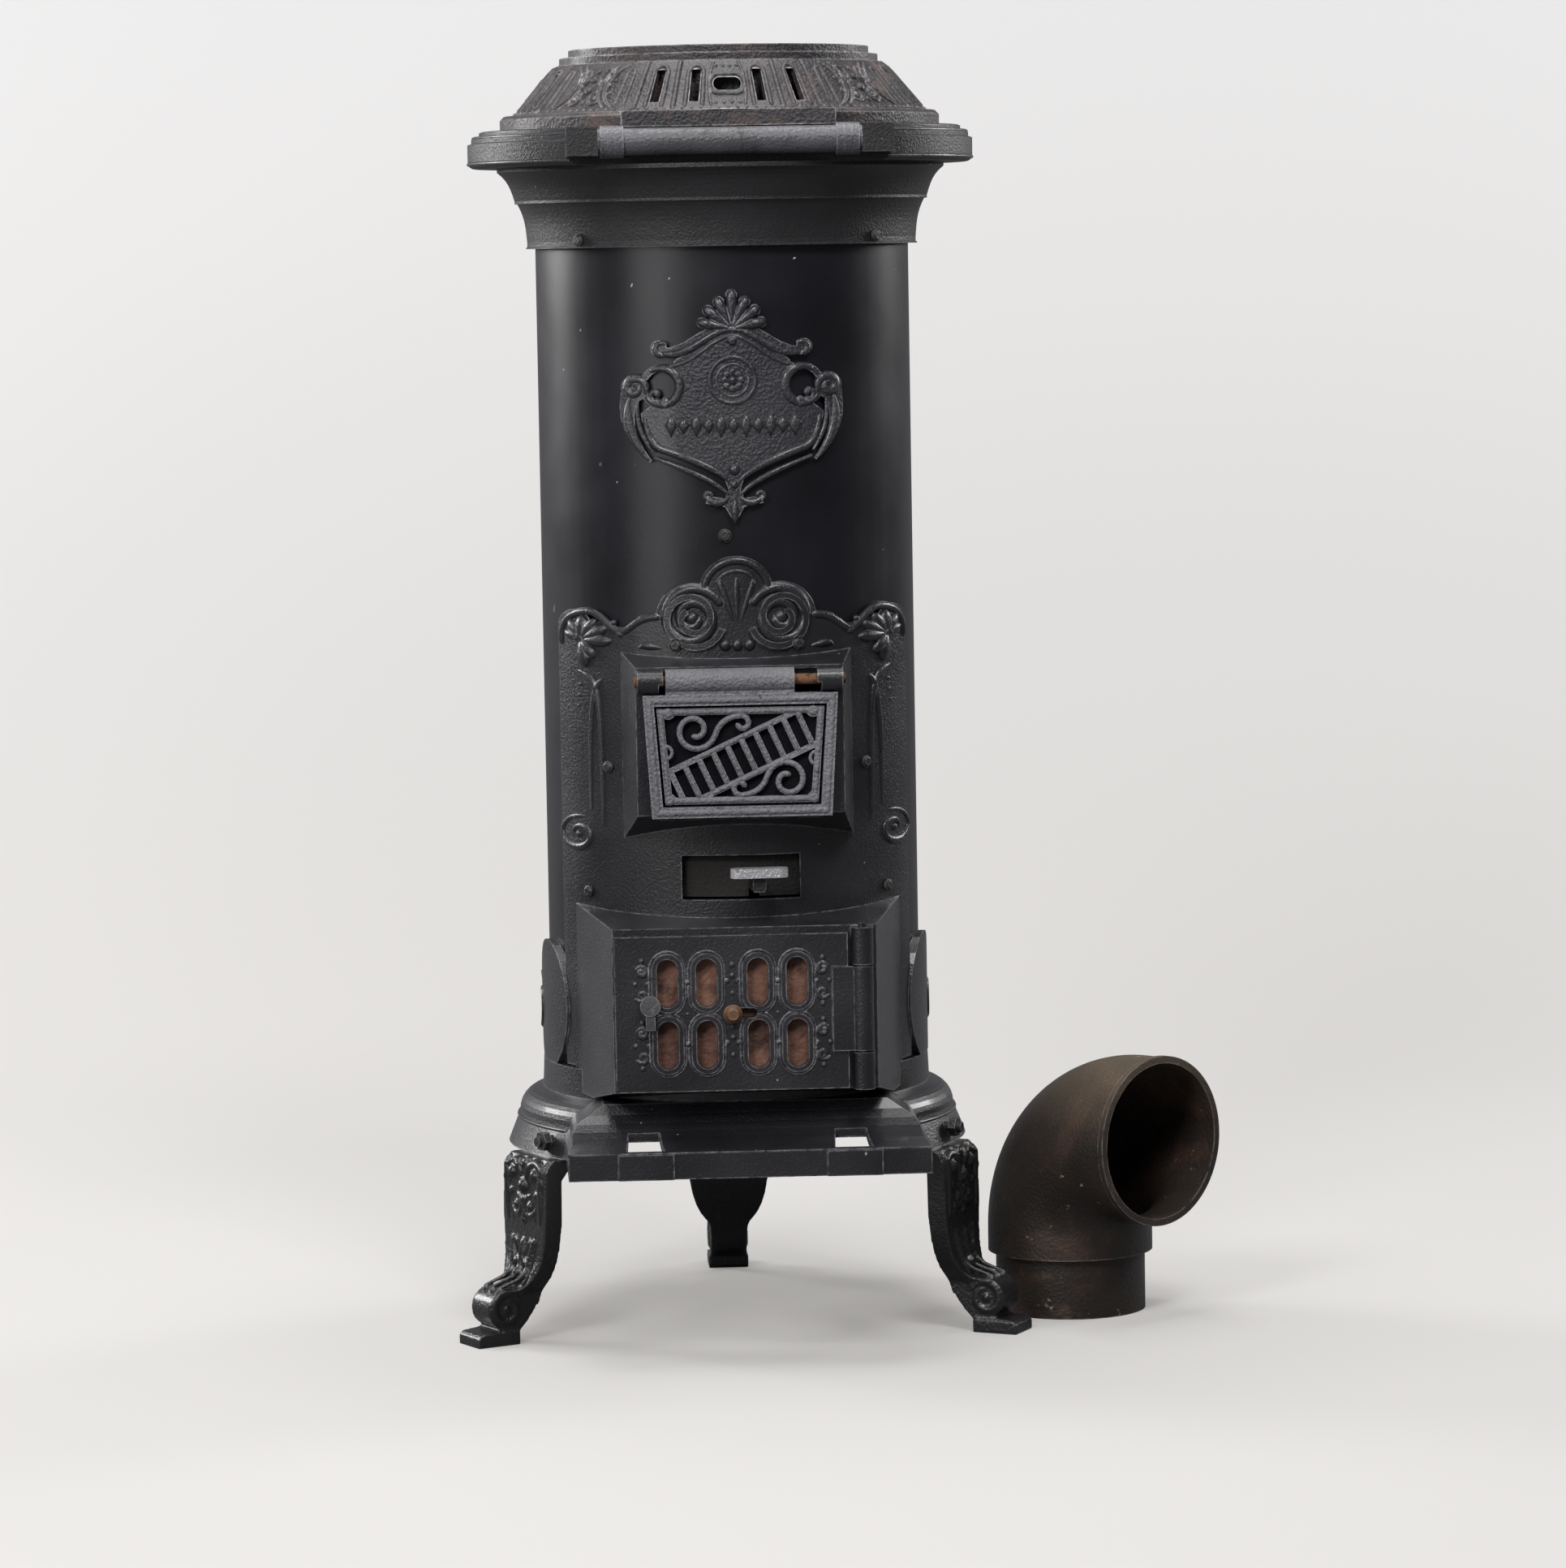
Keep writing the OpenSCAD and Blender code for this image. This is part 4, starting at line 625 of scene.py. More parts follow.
WORN = (
    Finish("worn_casting", (0.135, 0.130, 0.145), 0.45)
    .grain(420.0, 0.0011, pits=0.9, tint=(0.20, 0.195, 0.21), rough=0.55)
    .patches((0.030, 0.028, 0.032), scale=150.0, cover=0.34, softness=0.15)
    .worn_and_highlit((0.36, 0.35, 0.37), 0.34)
    .done())

BAR = (
    Finish("smooth_worn_bar", (0.050, 0.048, 0.054), 0.32)
    .grain(480.0, 0.0005, pits=0.8, tint=(0.105, 0.10, 0.112), rough=0.42)
    .patches((0.016, 0.015, 0.016), scale=70.0, cover=0.40, softness=0.14, rough=0.5)
    .worn_and_highlit((0.32, 0.31, 0.33), 0.3)
    .done())

CROWN = (
    Finish("crown_casting", (0.022, 0.020, 0.022), 0.42)
    .grain(430.0, 0.0009, pits=0.8, tint=(0.038, 0.033, 0.036), rough=0.52)
    .patches((0.120, 0.078, 0.068), scale=26.0, cover=0.46, softness=0.25, rough=0.7)
    .patches((0.018, 0.016, 0.018), scale=60.0, cover=0.32, softness=0.2)
    # light edges: rubbed iron, made brighter to be partly painted highlights on the beads and lines
    .worn_and_highlit((0.44, 0.41, 0.42), 0.32, radius=0.0020, full=0.17)
    .glossed(0.14, 0.22)
    .done())

LEG = (
    Finish("leg_casting", (0.009, 0.0085, 0.009), 0.27)
    .grain(420.0, 0.0005, pits=0.7, tint=(0.016, 0.015, 0.015), rough=0.36)
    .patches((0.075, 0.055, 0.042), scale=40.0, cover=0.22, softness=0.2, rough=0.55)
    .worn_and_highlit((0.30, 0.29, 0.31), 0.26, radius=0.0018)
    .glossed(0.30, 0.15)
    .done())

RUST = (
    Finish("rusted_iron", (0.10, 0.042, 0.020), 0.75)
    .grain(500.0, 0.0005, pits=0.8, tint=(0.22, 0.10, 0.045), rough=0.85)
    .patches((0.04, 0.022, 0.016), scale=150.0, cover=0.45, softness=0.1)
    .done())

BOLT = (
    Finish("dark_bolt", (0.014, 0.012, 0.012), 0.4)
    .grain(500.0, 0.0005, pits=0.8, tint=(0.026, 0.021, 0.019), rough=0.5)
    # light edges: rubbed iron, and partly painted glints on the screw heads
    .worn_and_highlit((0.26, 0.25, 0.25), 0.30, radius=0.0018)
    .done())

LATCH = (
    Finish("latch_iron", (0.040, 0.039, 0.041), 0.42)
    .grain(500.0, 0.0005, tint=(0.09, 0.087, 0.09), rough=0.5)
    .patches((0.26, 0.25, 0.25), scale=70.0, cover=0.34, softness=0.2, rough=0.5)
    .worn_and_highlit((0.40, 0.39, 0.40), 0.3)
    .done())

KNOB = (
    Finish("copper_knob", (0.075, 0.040, 0.024), 0.5)
    .grain(500.0, 0.0005, tint=(0.14, 0.07, 0.036), rough=0.6)
    .worn_and_highlit((0.62, 0.34, 0.18), 0.30, radius=0.002)
    .done())

SLIDE = (
    Finish("slide_sheet", (0.105, 0.042, 0.027), 0.66)
    .grain(300.0, 0.0008, pits=0.6, tint=(0.24, 0.115, 0.075), rough=0.75)
    .patches((0.040, 0.015, 0.012), scale=45.0, cover=0.55, softness=0.2)
    .flecks((0.48, 0.38, 0.32), scale=160.0, size=0.16, share=0.10)
    .done())

STEEL = (
    Finish("bright_steel", (0.50, 0.50, 0.51), 0.34, metal=0.5)
    .grain(500.0, 0.0006, pits=0.7, tint=(0.36, 0.36, 0.37), rough=0.5)
    .patches((0.07, 0.066, 0.066), scale=110.0, cover=0.36, softness=0.12, rough=0.6)
    .done())

INNER = (
    Finish("inner_casting", (0.012, 0.011, 0.0105), 0.85)
    .grain(380.0, 0.0007, pits=0.9, tint=(0.026, 0.022, 0.019), rough=0.92)
    .patches((0.065, 0.036, 0.022), scale=30.0, cover=0.28, softness=0.15)
    .done())

BACKING = (
    Finish("grille_backing", (0.0025, 0.0025, 0.004), 0.6, specular=0.12)
    .grain(500.0, 0.0003, tint=(0.006, 0.006, 0.010), rough=0.6)
    .done())

CLAY = (
    Finish("fired_clay", (0.26, 0.17, 0.11), 0.95)
    .grain(300.0, 0.0009, pits=0.8, tint=(0.38, 0.27, 0.19), rough=0.98)
    .patches((0.03, 0.026, 0.024), scale=16.0, cover=0.5, softness=0.25)
    .done())

PAN = (
    Finish("pan_sheet", (0.028, 0.024, 0.021), 0.6)
    .grain(500.0, 0.0002, tint=(0.045, 0.038, 0.033), rough=0.7)
    .patches((0.14, 0.065, 0.035), scale=45.0, cover=0.25, softness=0.12)
    .worn_and_highlit((0.16, 0.15, 0.15), 0.4)
    .done())

ELBOW = (
    Finish("elbow_casting", (0.019, 0.0145, 0.0115), 0.38)
    .grain(420.0, 0.0005, pits=0.6, tint=(0.038, 0.028, 0.022), rough=0.50)
    .patches((0.105, 0.055, 0.040), scale=13.0, cover=0.48, softness=0.3)
    .patches((0.27, 0.175, 0.085), scale=11.0, cover=0.22, softness=0.28, rough=0.62)
    # ochre over the elbow's top: painted highlight from the light above, not dust
    .painted_top_light((0.33, 0.25, 0.16), 0.15, 0.245, 0.42)
    .patches((0.36, 0.31, 0.24), scale=75.0, cover=0.16, softness=0.05, rough=0.7)
    .worn_and_highlit((0.26, 0.24, 0.22), 0.34, radius=0.0018)
    .done())

NODE_FINISH = {
    BLACK: ["base_casting", "front_plate", "ash_door", "ash_door_hinge_pin", "flue_collar",
            "latch_keeper"],
    PLAIN: ["neck_casting", "rim"],
    JACKET: ["jacket", "jacket_back", "seam_rivets"],
    BADGE: ["shield_badge", "badge_rivets"],
    WORN: ["fuel_door_frame", "fuel_door_grille", "fuel_door_rivets"],
    BOLT: ["plate_screws", "flue_collar_screws", "jacket_screw", "neck_screws", "leg_bolts",
           "leg_nuts", "shaker_lever"],
    BAR: ["hand_bar", "bar_collars"],
    CROWN: ["crown", "top_ring", "top_lid"],
    LEG: list(LEG_NODES),
    RUST: ["tie_rods", "tie_rod_nuts", "fuel_door_hinge_pin"],
    KNOB: ["air_slide_knob"],
    SLIDE: ["air_slide"],
    STEEL: ["shaker_knob"],
    LATCH: ["ash_door_latch"],
    INNER: ["bottom_plate", "grate_stand", "grate", "slot_shield", "fire_pot", "heat_plate"],
    BACKING: ["fuel_door_backplate"],
    CLAY: ["fire_lining"],
    PAN: ["ash_pan"],
    ELBOW: ["flue_elbow"],
}


def finish_nodes():
    """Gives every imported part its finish."""
    for material, names in NODE_FINISH.items():
        for name in names:
            coated(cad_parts[name].data, material)


# ---- badge ----


def badge_relief():
    """Scrolls, palmette, border and rosette that stand out of the badge."""
    place = on_column(BADGE_R)

    def up(points):
        return [(x, z + BADGE_Z) for x, z in points]

    border = (curve((4, -58), (12, -50), (30, -42), (54, -34), 8)
              + curve((54, -34), (62, -30), (64, -20), (65, -12), 6)[1:])
    crest = curve((0, 54), (20, 52), (30, 33), (50, 36), 14)
    inner_crest = curve((0, 49), (16, 47), (26, 30), (44, 27), 12)
    hook = arc(52, 39.5, 4.5, -95, 120, 8)
    scroll = arc(52.6, 12, 13.5, 62, 318, 26)
    scroll_eye = spiral(57, 5.5, 5, 1.5, 250, 0.8, 12)
    side = spiral(72, 11, 8.5, 2.0, 200, -1.25, 24)
    leaf = curve((76, 3), (80, -10), (76, -28), (63, -42), 12)
    leaf_back = curve((70, 0), (72, -12), (69, -24), (60, -36), 10)
    foot = curve((20, -71), (16, -76), (9, -76), (5, -71), 8)
    foot_curl = arc(19.5, -69.5, 2.6, -60, 160, 6)
    strokes = []
    for path, half in ((border, swell(len(border), 2.0, 3.4)),
                       (crest, swell(len(crest), 2.4, 3.6, 0.7)),
                       (inner_crest, 1.9), (hook, swell(len(hook), 1.6, 3.2, 0.2)),
                       (scroll, swell(len(scroll), 2.4, 4.2, 0.4)), (scroll_eye, 2.4),
                       (side, swell(len(side), 2.2, 4.2, 0.4)),
                       (leaf, swell(len(leaf), 1.2, 4.8, 0.45)),
                       (leaf_back, swell(len(leaf_back), 1.0, 2.2)),
                       (foot, swell(len(foot), 1.5, 3.2)), (foot_curl, 2.0)):
        strokes += [(up(p), half) for p in both(path)]
    strokes += pair(up(curve((5, -68), (14, -58), (34, -50), (58, -41), 8)), 1.3, 2.3)
    rings = [(up(arc(0, 16, 17, 0, 348, 29)), 2.1), (up(arc(0, 16, 12, 0, 345, 23)), 1.2)]
    closed = (len(strokes), len(strokes) + 1)
    lines = cast_ridges("badge_scrolls", strokes + rings, place, BADGE, closed=closed)

    beads = [(0, 45, 4.2), (0, -50, 4.8), (0, -61, 3.4), (0, -84, 3.0)]
    beads += [(s * x, z, r) for s in (-1, 1) for x, z, r in ((74, 6, 2.4), (56, 8, 2.0))]
    studs = cast_beads("badge_beads", [(x, z + BADGE_Z, r) for x, z, r in beads], place, BADGE)

    pads = []
    for angle in (-78, -52, -26, 0, 26, 52, 78):
        length = 27 if angle == 0 else 24
        petal = (curve((-1.4, 1), (-3.0, length * 0.5), (-5.2, length * 0.75), (-3.0, length), 6)
                 + curve((-3.0, length), (-1.5, length + 3.4), (1.5, length + 3.4), (3.0, length), 4)[1:]
                 + curve((3.0, length), (5.2, length * 0.75), (3.0, length * 0.5), (1.4, 1), 6)[1:])
        pads.append((moved(petal, 0, BADGE_Z + 54, angle), 3.6))
    for k in range(8):
        pads.append((moved(arc(0, 6.3, 2.9, 0, 330, 9), 0, BADGE_Z + 16, k * 45), 1.8))
    pads.append((moved(arc(0, 0, 3.2, 0, 330, 11), 0, BADGE_Z + 16), 2.6))
    drop = (curve((0, -91), (-5, -82), (-3, -76), (0, -72), 6)
            + curve((0, -72), (3, -76), (5, -82), (0, -91), 6)[1:-1])
    pads.append((up(drop), 2.6))
    for k in range(-5, 6):
        x, tall = k * LOZENGE_STEP, 9.0 if k % 2 else 6.5
        lozenge = [(x - 4.5, LOZENGE_Z), (x, LOZENGE_Z - tall), (x + 4.5, LOZENGE_Z), (x, LOZENGE_Z + tall)]
        pads.append((up(lozenge), 3.4))
    leaves = cast_pads("badge_petals", pads, place)
    settle(joined("badge_relief", [lines, studs, leaves]), STOVE, BADGE)


# ---- front plate ----


def lobe_outline(length, half):
    """One lobe of a cast leaf, pointing up from the origin."""
    left = curve((-half * 0.3, 0), (-half, length * 0.4), (-half * 1.3, length * 0.7),
                 (-half * 0.6, length), 6)
    tip = curve(left[-1], (-half * 0.2, length + half * 0.6), (half * 0.2, length + half * 0.6),
                (half * 0.6, length), 4)
    right = [(-x, z) for x, z in reversed(left)]
    return left + tip[1:] + right[1:]


def crest_relief():
    """The volutes, the fan and the edge mouldings that stand out of the front plate."""
    place = on_column(PLATE_R)
    top = SHOULDER_Z
    dome_z = top + 13
    strokes = [(arc(0, dome_z, 24.6, 12, 168, 22), 3.4), (arc(0, dome_z, 17, 30, 150, 14), 1.8)]
    volute = spiral(33, top - 5, 23.5, 5.0, 150, -1.85, 54)
    strokes += pair(volute, 3.8, 5.0, 0.35)
    outer = arc(33, top - 5, 25.2, 118, 8, 14)
    strokes += [(p, 1.9) for p in both(outer)]
    lip = curve((59, top - 4), (66, top - 4), (72, top - 6), (80, top - 13), 8)
    shoulder = curve((80, top - 13), (92, top - 24), (99, top + 3), (112, top - 1), 10)
    corner = curve((112, top - 1), (124, top - 2), (130, top - 10), (129, top - 24), 8)
    strokes += [(p, 3.2) for p in both(lip + shoulder[1:] + corner[1:])]
    tail = curve((57, top - 27), (64, top - 26), (70, top - 24), (72, top - 27), 6)
    strokes += pair(tail, 1.4, 3.6)
    for x in (-13, 0, 13):
        fan = curve((x * 0.25, top - 6), (x * 0.4, top + 3), (x * 0.8, top + 14), (x, top + 24), 6)
        strokes.append((fan, swell(len(fan), 1.2, 3.0, 0.7)))
    flank = curve((101, top - 52), (108, top - 60), (110, top - 80), (110, top - 150), 14)
    strokes += pair(flank, 1.2, 3.0, 0.15)
    inner = curve((116, top - 46), (101, top - 50), (101, top - 70), (101, top - 160), 14)
    strokes += pair(inner, 1.6, 3.2, 0.2)
    lobe = spiral(119, 384, 14, 4, 100, -1.3, 30)
    strokes += pair(lobe, 1.4, 3.2, 0.4)
    lines = cast_ridges("crest_lines", strokes, place, BLACK)

    beads = [(s * x, z, r) for s in (-1, 1) for x, z, r in (
        (33, top - 5, 6.0), (86, top - 17, 3.4), (91, top - 9, 2.6), (114, top - 21, 4.4),
        (116, top - 56, 1.9), (117, top - 64, 1.7), (118, top - 72, 1.5), (119, 384, 3.0))]
    beads += [(x, top - 25, 5.0) for x in (-9, 0, 9)]
    studs = cast_beads("crest_beads", beads, place, BLACK)
    lobes = []
    for s in (-1, 1):
        for angle, length, half in ((-92, 20, 4.6), (-62, 19, 4.4), (-32, 17, 4.4), (0, 16, 4.2),
                                    (32, 15, 4.0), (64, 12, 3.6), (-174, 19, 4.4), (-146, 15, 3.8)):
            lobes.append((moved(lobe_outline(length, half), s * 114, top - 22, -s * angle), 3.8))
    leaves = cast_pads("crest_leaves", lobes, place)
    settle(joined("front_plate_relief", [lines, studs, leaves]), STOVE, BLACK)


def ear_relief():
    """Spirals on the ears that wrap round the column beside the ash box."""
    def place(angle, z, h=0.0):
        return around(PLATE_R + 2 + h, math.radians(angle), z)

    strokes = []
    for s in (-1, 1):
        path = [(s * (90 - (d - 20) / PLATE_R * PER_RADIAN + 8), z)
                for d, z in spiral(38, EAR_Z, 24, 6, 90, 1.4, 40)]
        strokes.append((path, swell(len(path), 1.0, 2.4, 0.3)))
    settle(cast_ridges("ear_spirals", strokes, place, BLACK), STOVE)


# ---- doors ----


def fuel_door_relief():
    """Rounds the bars of the grille, and beads the door's border."""
    place = on_front(GRILLE_D)

    def up(points):
        return [(x, z + DOOR_Z) for x, z in points]

    def about(x, z, radius, angle):
        return x + radius * math.cos(math.radians(angle)), z + radius * math.sin(math.radians(angle))

    slant = 24.5
    unwind = [about(-34.0, 19.0, 4.5 + 11 * t, -13 - 440 * (1 - t)) for t in (i / 26 for i in range(27))]
    sweep = curve((-18.9, 15.5), (-17, 24), (-9, 29.6), (1, 29.6), 8)[1:]
    curl = [about(1, 23.6, 6 - i * 0.45, 90 - i * 40) for i in range(1, 7)]
    scroll = unwind + sweep + curl
    strokes = []
    for turn in (0, 180):
        path = moved(scroll, 0, DOOR_Z, turn)
        strokes.append((path, 2.1))
        strokes.append((moved(arc(-56, 3, 5.0, -60, 200, 10), 0, DOOR_Z, turn), 1.4))
    for y in (-16.3, 12.0):
        strokes.append((moved([(-60, y), (-30, y), (0, y), (30, y), (60, y)], 0, DOOR_Z, slant), 2.2))
    for i in range(-5, 5):
        x = i * 11.5 + 5.1
        bar = moved([(x, -14), (x, -2), (x, 10)], 0, DOOR_Z, slant)
        if max(abs(p[0]) for p in bar) < 53 and max(abs(p[1] - DOOR_Z) for p in bar) < 33:
            strokes.append((bar, 2.1))
    opening = door_outline(DOOR_BORDER)
    strokes = [(clipped(p, opening[1][0] - 0.5, opening[2][1]), w) for p, w in strokes]
    strokes = [(p, w) for p, w in strokes if len(p) > 1]
    strokes += [(up(line), 2.6) for line in sides_of(opening)]
    bars = cast_ridges("fuel_door_fretwork", strokes, place, WORN, sink=0.5)

    edge = [(up(line), 3.0) for line in sides_of(door_outline(4.0))]
    rim = cast_ridges("fuel_door_border_bead", edge, on_front(FRAME_D), WORN, sink=0.55)
    settle(joined("fuel_door_relief", [bars, rim]), "fuel_door", WORN)


def door_outline(inset):
    """The fuel door's edge, drawn in by some millimetres; the door is wider above than below."""
    low_half, high_half, rise = (half - inset for half in DOOR_HALVES)
    return [(-low_half, -rise), (low_half, -rise), (high_half, rise), (-high_half, rise)]


def clipped(path, half, rise):
    """The part of a path near the door's middle that lies inside the grille's border."""
    return [(x, z) for x, z in path if abs(x) < half + 4 and abs(z - DOOR_Z) < rise + 2]


def sides_of(corners):
    """The straight sides of a closed outline, each with a few points."""
    lines = []
    for a, b in zip(corners, corners[1:] + corners[:1]):
        lines.append([(a[0] + (b[0] - a[0]) * i / 6, a[1] + (b[1] - a[1]) * i / 6) for i in range(7)])
    return lines


def opened_for_knob(ring, middle_z):
    """Leaves a ring open where the air slide's knob passes; says too if it is still closed."""
    blocked = [KNOB_WAY[0] < x < KNOB_WAY[1] and abs(z - middle_z) < KNOB_CLEAR for x, z in ring]
    if not any(blocked):
        return ring, True
    start = next(i for i in range(len(ring)) if blocked[i - 1] and not blocked[i])
    order = [(start + i) % len(ring) for i in range(len(ring))]
    return [ring[i] for i in order if not blocked[i]], False


def ash_door_relief():
    """The rounded borders of the air slots, and the small curls between them."""
    place = on_front(ASH_D)
    strokes, closed = [], []
    rise = 10.3
    middle_z = sum(AIR_ROWS) / 2
    for x in AIR_COLUMNS:
        for z in AIR_ROWS:
            for radius, half in ((9.8, 2.3), (13.4, 1.1)):
                ring = (arc(x, z + rise, radius, 0, 180, 12) + arc(x, z - rise, radius, 180, 360, 12))
                path, whole = opened_for_knob(ring, middle_z)
                if whole:
                    closed.append(len(strokes))
                strokes.append((path, half))
    for s in (-1, 1):
        for z in AIR_ROWS:
            x0 = AIR_MIDDLE + s * 67
            for side in (1, -1):
                curl = spiral(x0, z + side * 9, 4.6, 1.2, side * (90 - s * 60), side * s * 1.1, 14)
                strokes.append((curl, swell(len(curl), 1.4, 2.4)))
    lines = cast_ridges("ash_door_lines", strokes, place, BLACK, sink=0.25, closed=closed)
    beads = []
    gaps = [(AIR_COLUMNS[0] + AIR_COLUMNS[1]) / 2, AIR_MIDDLE, (AIR_COLUMNS[2] + AIR_COLUMNS[3]) / 2]
    for z in AIR_ROWS:
        for x in gaps:
            wide = x == AIR_MIDDLE
            beads += [(x, z + 13 if wide else z, 2.6)]
            if wide:
                beads += [(x - 4, z + 1, 2.4), (x + 4, z + 1, 2.4), (x, z + 5, 2.6), (x, z - 8, 2.2)]
        for s in (-1, 1):
            beads += [(AIR_MIDDLE + s * x, z + dz, r) for x, dz, r in (
                (67, 17, 2.6), (67, -17, 2.4), (72, 0, 2.2), (63, 0, 2.0))]
    beads += [(x, middle_z, 1.5) for x in (gaps[0], gaps[2])]
    studs = cast_beads("ash_door_beads", beads, place, BADGE)
    settle(joined("ash_door_relief", [lines, studs]), "ash_door", BADGE)


# ---- crown, rim and neck ----


def crown_radius(z):
    """The crown's slope, from its foot to its top."""
    points = curve((CROWN_FOOT_R - 9, CROWN_Z + 12), (CROWN_FOOT_R - 19, CROWN_TOP - 30),
                   (CROWN_TOP_R + 12, CROWN_TOP - 10), (CROWN_TOP_R, CROWN_TOP), 24)
    for (r0, z0), (r1, z1) in zip(points, points[1:]):
        if z <= z1:
            return r0 + (r1 - r0) * max(0.0, (z - z0) / (z1 - z0))
    return points[-1][0]


def crown_relief():
    """Ribs between the slots, framed panels round the eyes, and leaf sprays between the panels."""
    place = round_column(crown_radius)
    z0, z1 = CROWN_Z + 15, CROWN_TOP - 2
    tall = z1 - z0
    strokes, closed, beads = [], [], []

    def across(angle, points):
        """A drawing in millimetres, set round the crown at an angle."""
        return [(angle + math.degrees(x / CROWN_DRAWN_R), z) for x, z in points]

    for q in (0, 90, 180, 270):
        for a in (-21.0, -9.6, 9.6, 21.0):
            frame_path = ([(-6.2, z0 + 1), (-6.2, z1 - 8)] + arc(0, z1 - 8, 6.2, 180, 0, 8)[1:]
                          + [(6.2, z0 + 1)])
            strokes.append((across(q + a, frame_path), 1.9))
        for a in (-26.6, -15.3, 15.3, 26.6):
            path = [(0, z0 + tall * i / 6) for i in range(7)]
            strokes.append((across(q + a, path), 2.4))
        for s in (-1, 1):
            blind = [(-3.4, z0 + 3), (-3.4, z1 - 7)] + arc(0, z1 - 7, 3.4, 180, 0, 6)[1:] + [(3.4, z0 + 3)]
            strokes.append((across(q + s * 31.5, blind), 1.5))
        eye_z = CROWN_TOP - 18
        closed.append(len(strokes))
        round_eye = [(x + math.copysign(6.0, x), z) for x, z in arc(0, eye_z, 7.4, -90, 255, 23)]
        strokes.append((across(q, round_eye), 1.9))
        for s in (-1, 1):
            strokes.append((across(q, curve((s * 12, z0 + 1), (s * 14.5, z0 + 9), (s * 14.5, z1 - 8),
                                            (s * 10.5, z1), 8)), 1.4))
        beads += [(q + a, z1 - 2.5, 1.7) for a in (-3.4, -1.1, 1.1, 3.4)]
        beads += [(q + a, z0 + 2.0, 1.7) for a in (-3.4, -1.1, 1.1, 3.4)]
        for s in (-1, 1):
            m = q + 45
            sweep = curve((s * 27, z0 + 1), (s * 12, z0 + 9), (s * 14, z1 - 8), (s * 28, z1 - 1), 12)
            strokes.append((across(m, sweep), swell(13, 1.4, 2.8)))
            inner = curve((s * 20, z0 + 1), (s * 7, z0 + 10), (s * 8, z1 - 9), (s * 19, z1 - 1), 12)
            strokes.append((across(m, inner), swell(13, 1.0, 2.2)))
            curl = spiral(s * 11.5, z1 - 10, 7.5, 1.8, 90 - s * 70, s * 1.2, 22)
            strokes.append((across(m, curl), swell(23, 1.2, 2.4, 0.4)))
            low_curl = spiral(s * 9.0, z0 + 8, 6.0, 1.6, 270 + s * 60, -s * 1.1, 20)
            strokes.append((across(m, low_curl), swell(21, 1.1, 2.2, 0.4)))
            beads += [(m + math.degrees(s * x / CROWN_DRAWN_R), z, r) for x, z, r in (
                (11.5, z1 - 10, 2.4), (9.0, z0 + 8, 2.0), (18.5, z0 + 16, 2.6), (22.5, z0 + 20, 2.0),
                (21.5, z0 + 11, 1.8))]
        beads += [(q + 45, z, r) for z, r in ((z0 + 4, 2.8), (z0 + 13, 4.2), (z0 + 21, 3.4), (z1 - 5, 2.6))]
    beads += [(k * 2.5, z0 - 1.6, 1.5) for k in range(144)]
    lines = cast_ridges("crown_lines", strokes, place, CROWN, sink=0.25, closed=closed)
    studs = cast_beads("crown_beads", beads, place, CROWN, sink=0.35)
    settle(joined("crown_relief", [lines, studs]), STOVE, CROWN)


def rim_relief():
    """Grooved steps on the rim, from one of its brackets round the back to the other."""
    start = math.degrees(math.acos(BRACKET_D / (RIM_R - 6))) + 2
    steps = ((RIM_R - 0.5, RIM_Z + 3.4, 1.3), (RIM_R - 4.5, RIM_TOP - 4.2, 1.3),
             (RIM_R - 10.5, RIM_TOP - 1.0, 1.6))
    free_lines("rim_lines", [(open_ring(radius, z, start), half) for radius, z, half in steps])


# ---- base ----


def base_relief():
    """The moulded line round the base ring, and along the top of the hearth rail."""
    def straight(start, end):
        return [Vector(p) * MM for p in (start, end)]

    edge_z = RAIL_TOP - 1
    start = math.degrees(math.asin(RAIL_HALF / (BASE_R - 7)))
    strokes = [(open_ring(BASE_R - 8, RAIL_TOP + 0.3, start), 1.3),
               (straight((-RAIL_HALF + 2, -RAIL_D + 1, edge_z), (RAIL_HALF - 2, -RAIL_D + 1, edge_z)), 1.2)]
    for s in (-1, 1):
        x = s * (RAIL_HALF - 0.6)
        strokes.append((straight((x, -RAIL_D + 2, edge_z), (x, -BASE_R + 60, edge_z)), 1.2))
    free_lines("base_lines", strokes)


# ---- legs ----

SCROLL_D = FOOT_R - 7
SCROLL_Z = 27.0
LEG_ROWS = range(42, 141, 7)  # the heights at which the leg's face is measured
LEG_REACH = 4.5  # how far above or below a height its corners still count
LEG_INNER_D = 100  # a face nearer to the stove's middle than this isn't the outer one
LEG_VOXEL = 0.0012  # metres


def straight_leg():
    """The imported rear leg, turned to stand straight ahead, with its corners welded."""
    bm = bmesh.new()
    bm.from_mesh(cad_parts["rear_leg"].data)
    bmesh.ops.transform(bm, matrix=Matrix.Rotation(math.pi, 4, "Z"), verts=bm.verts)
    bmesh.ops.remove_doubles(bm, verts=bm.verts, dist=0.02 * MM)
    return as_object("leg_form", bm)


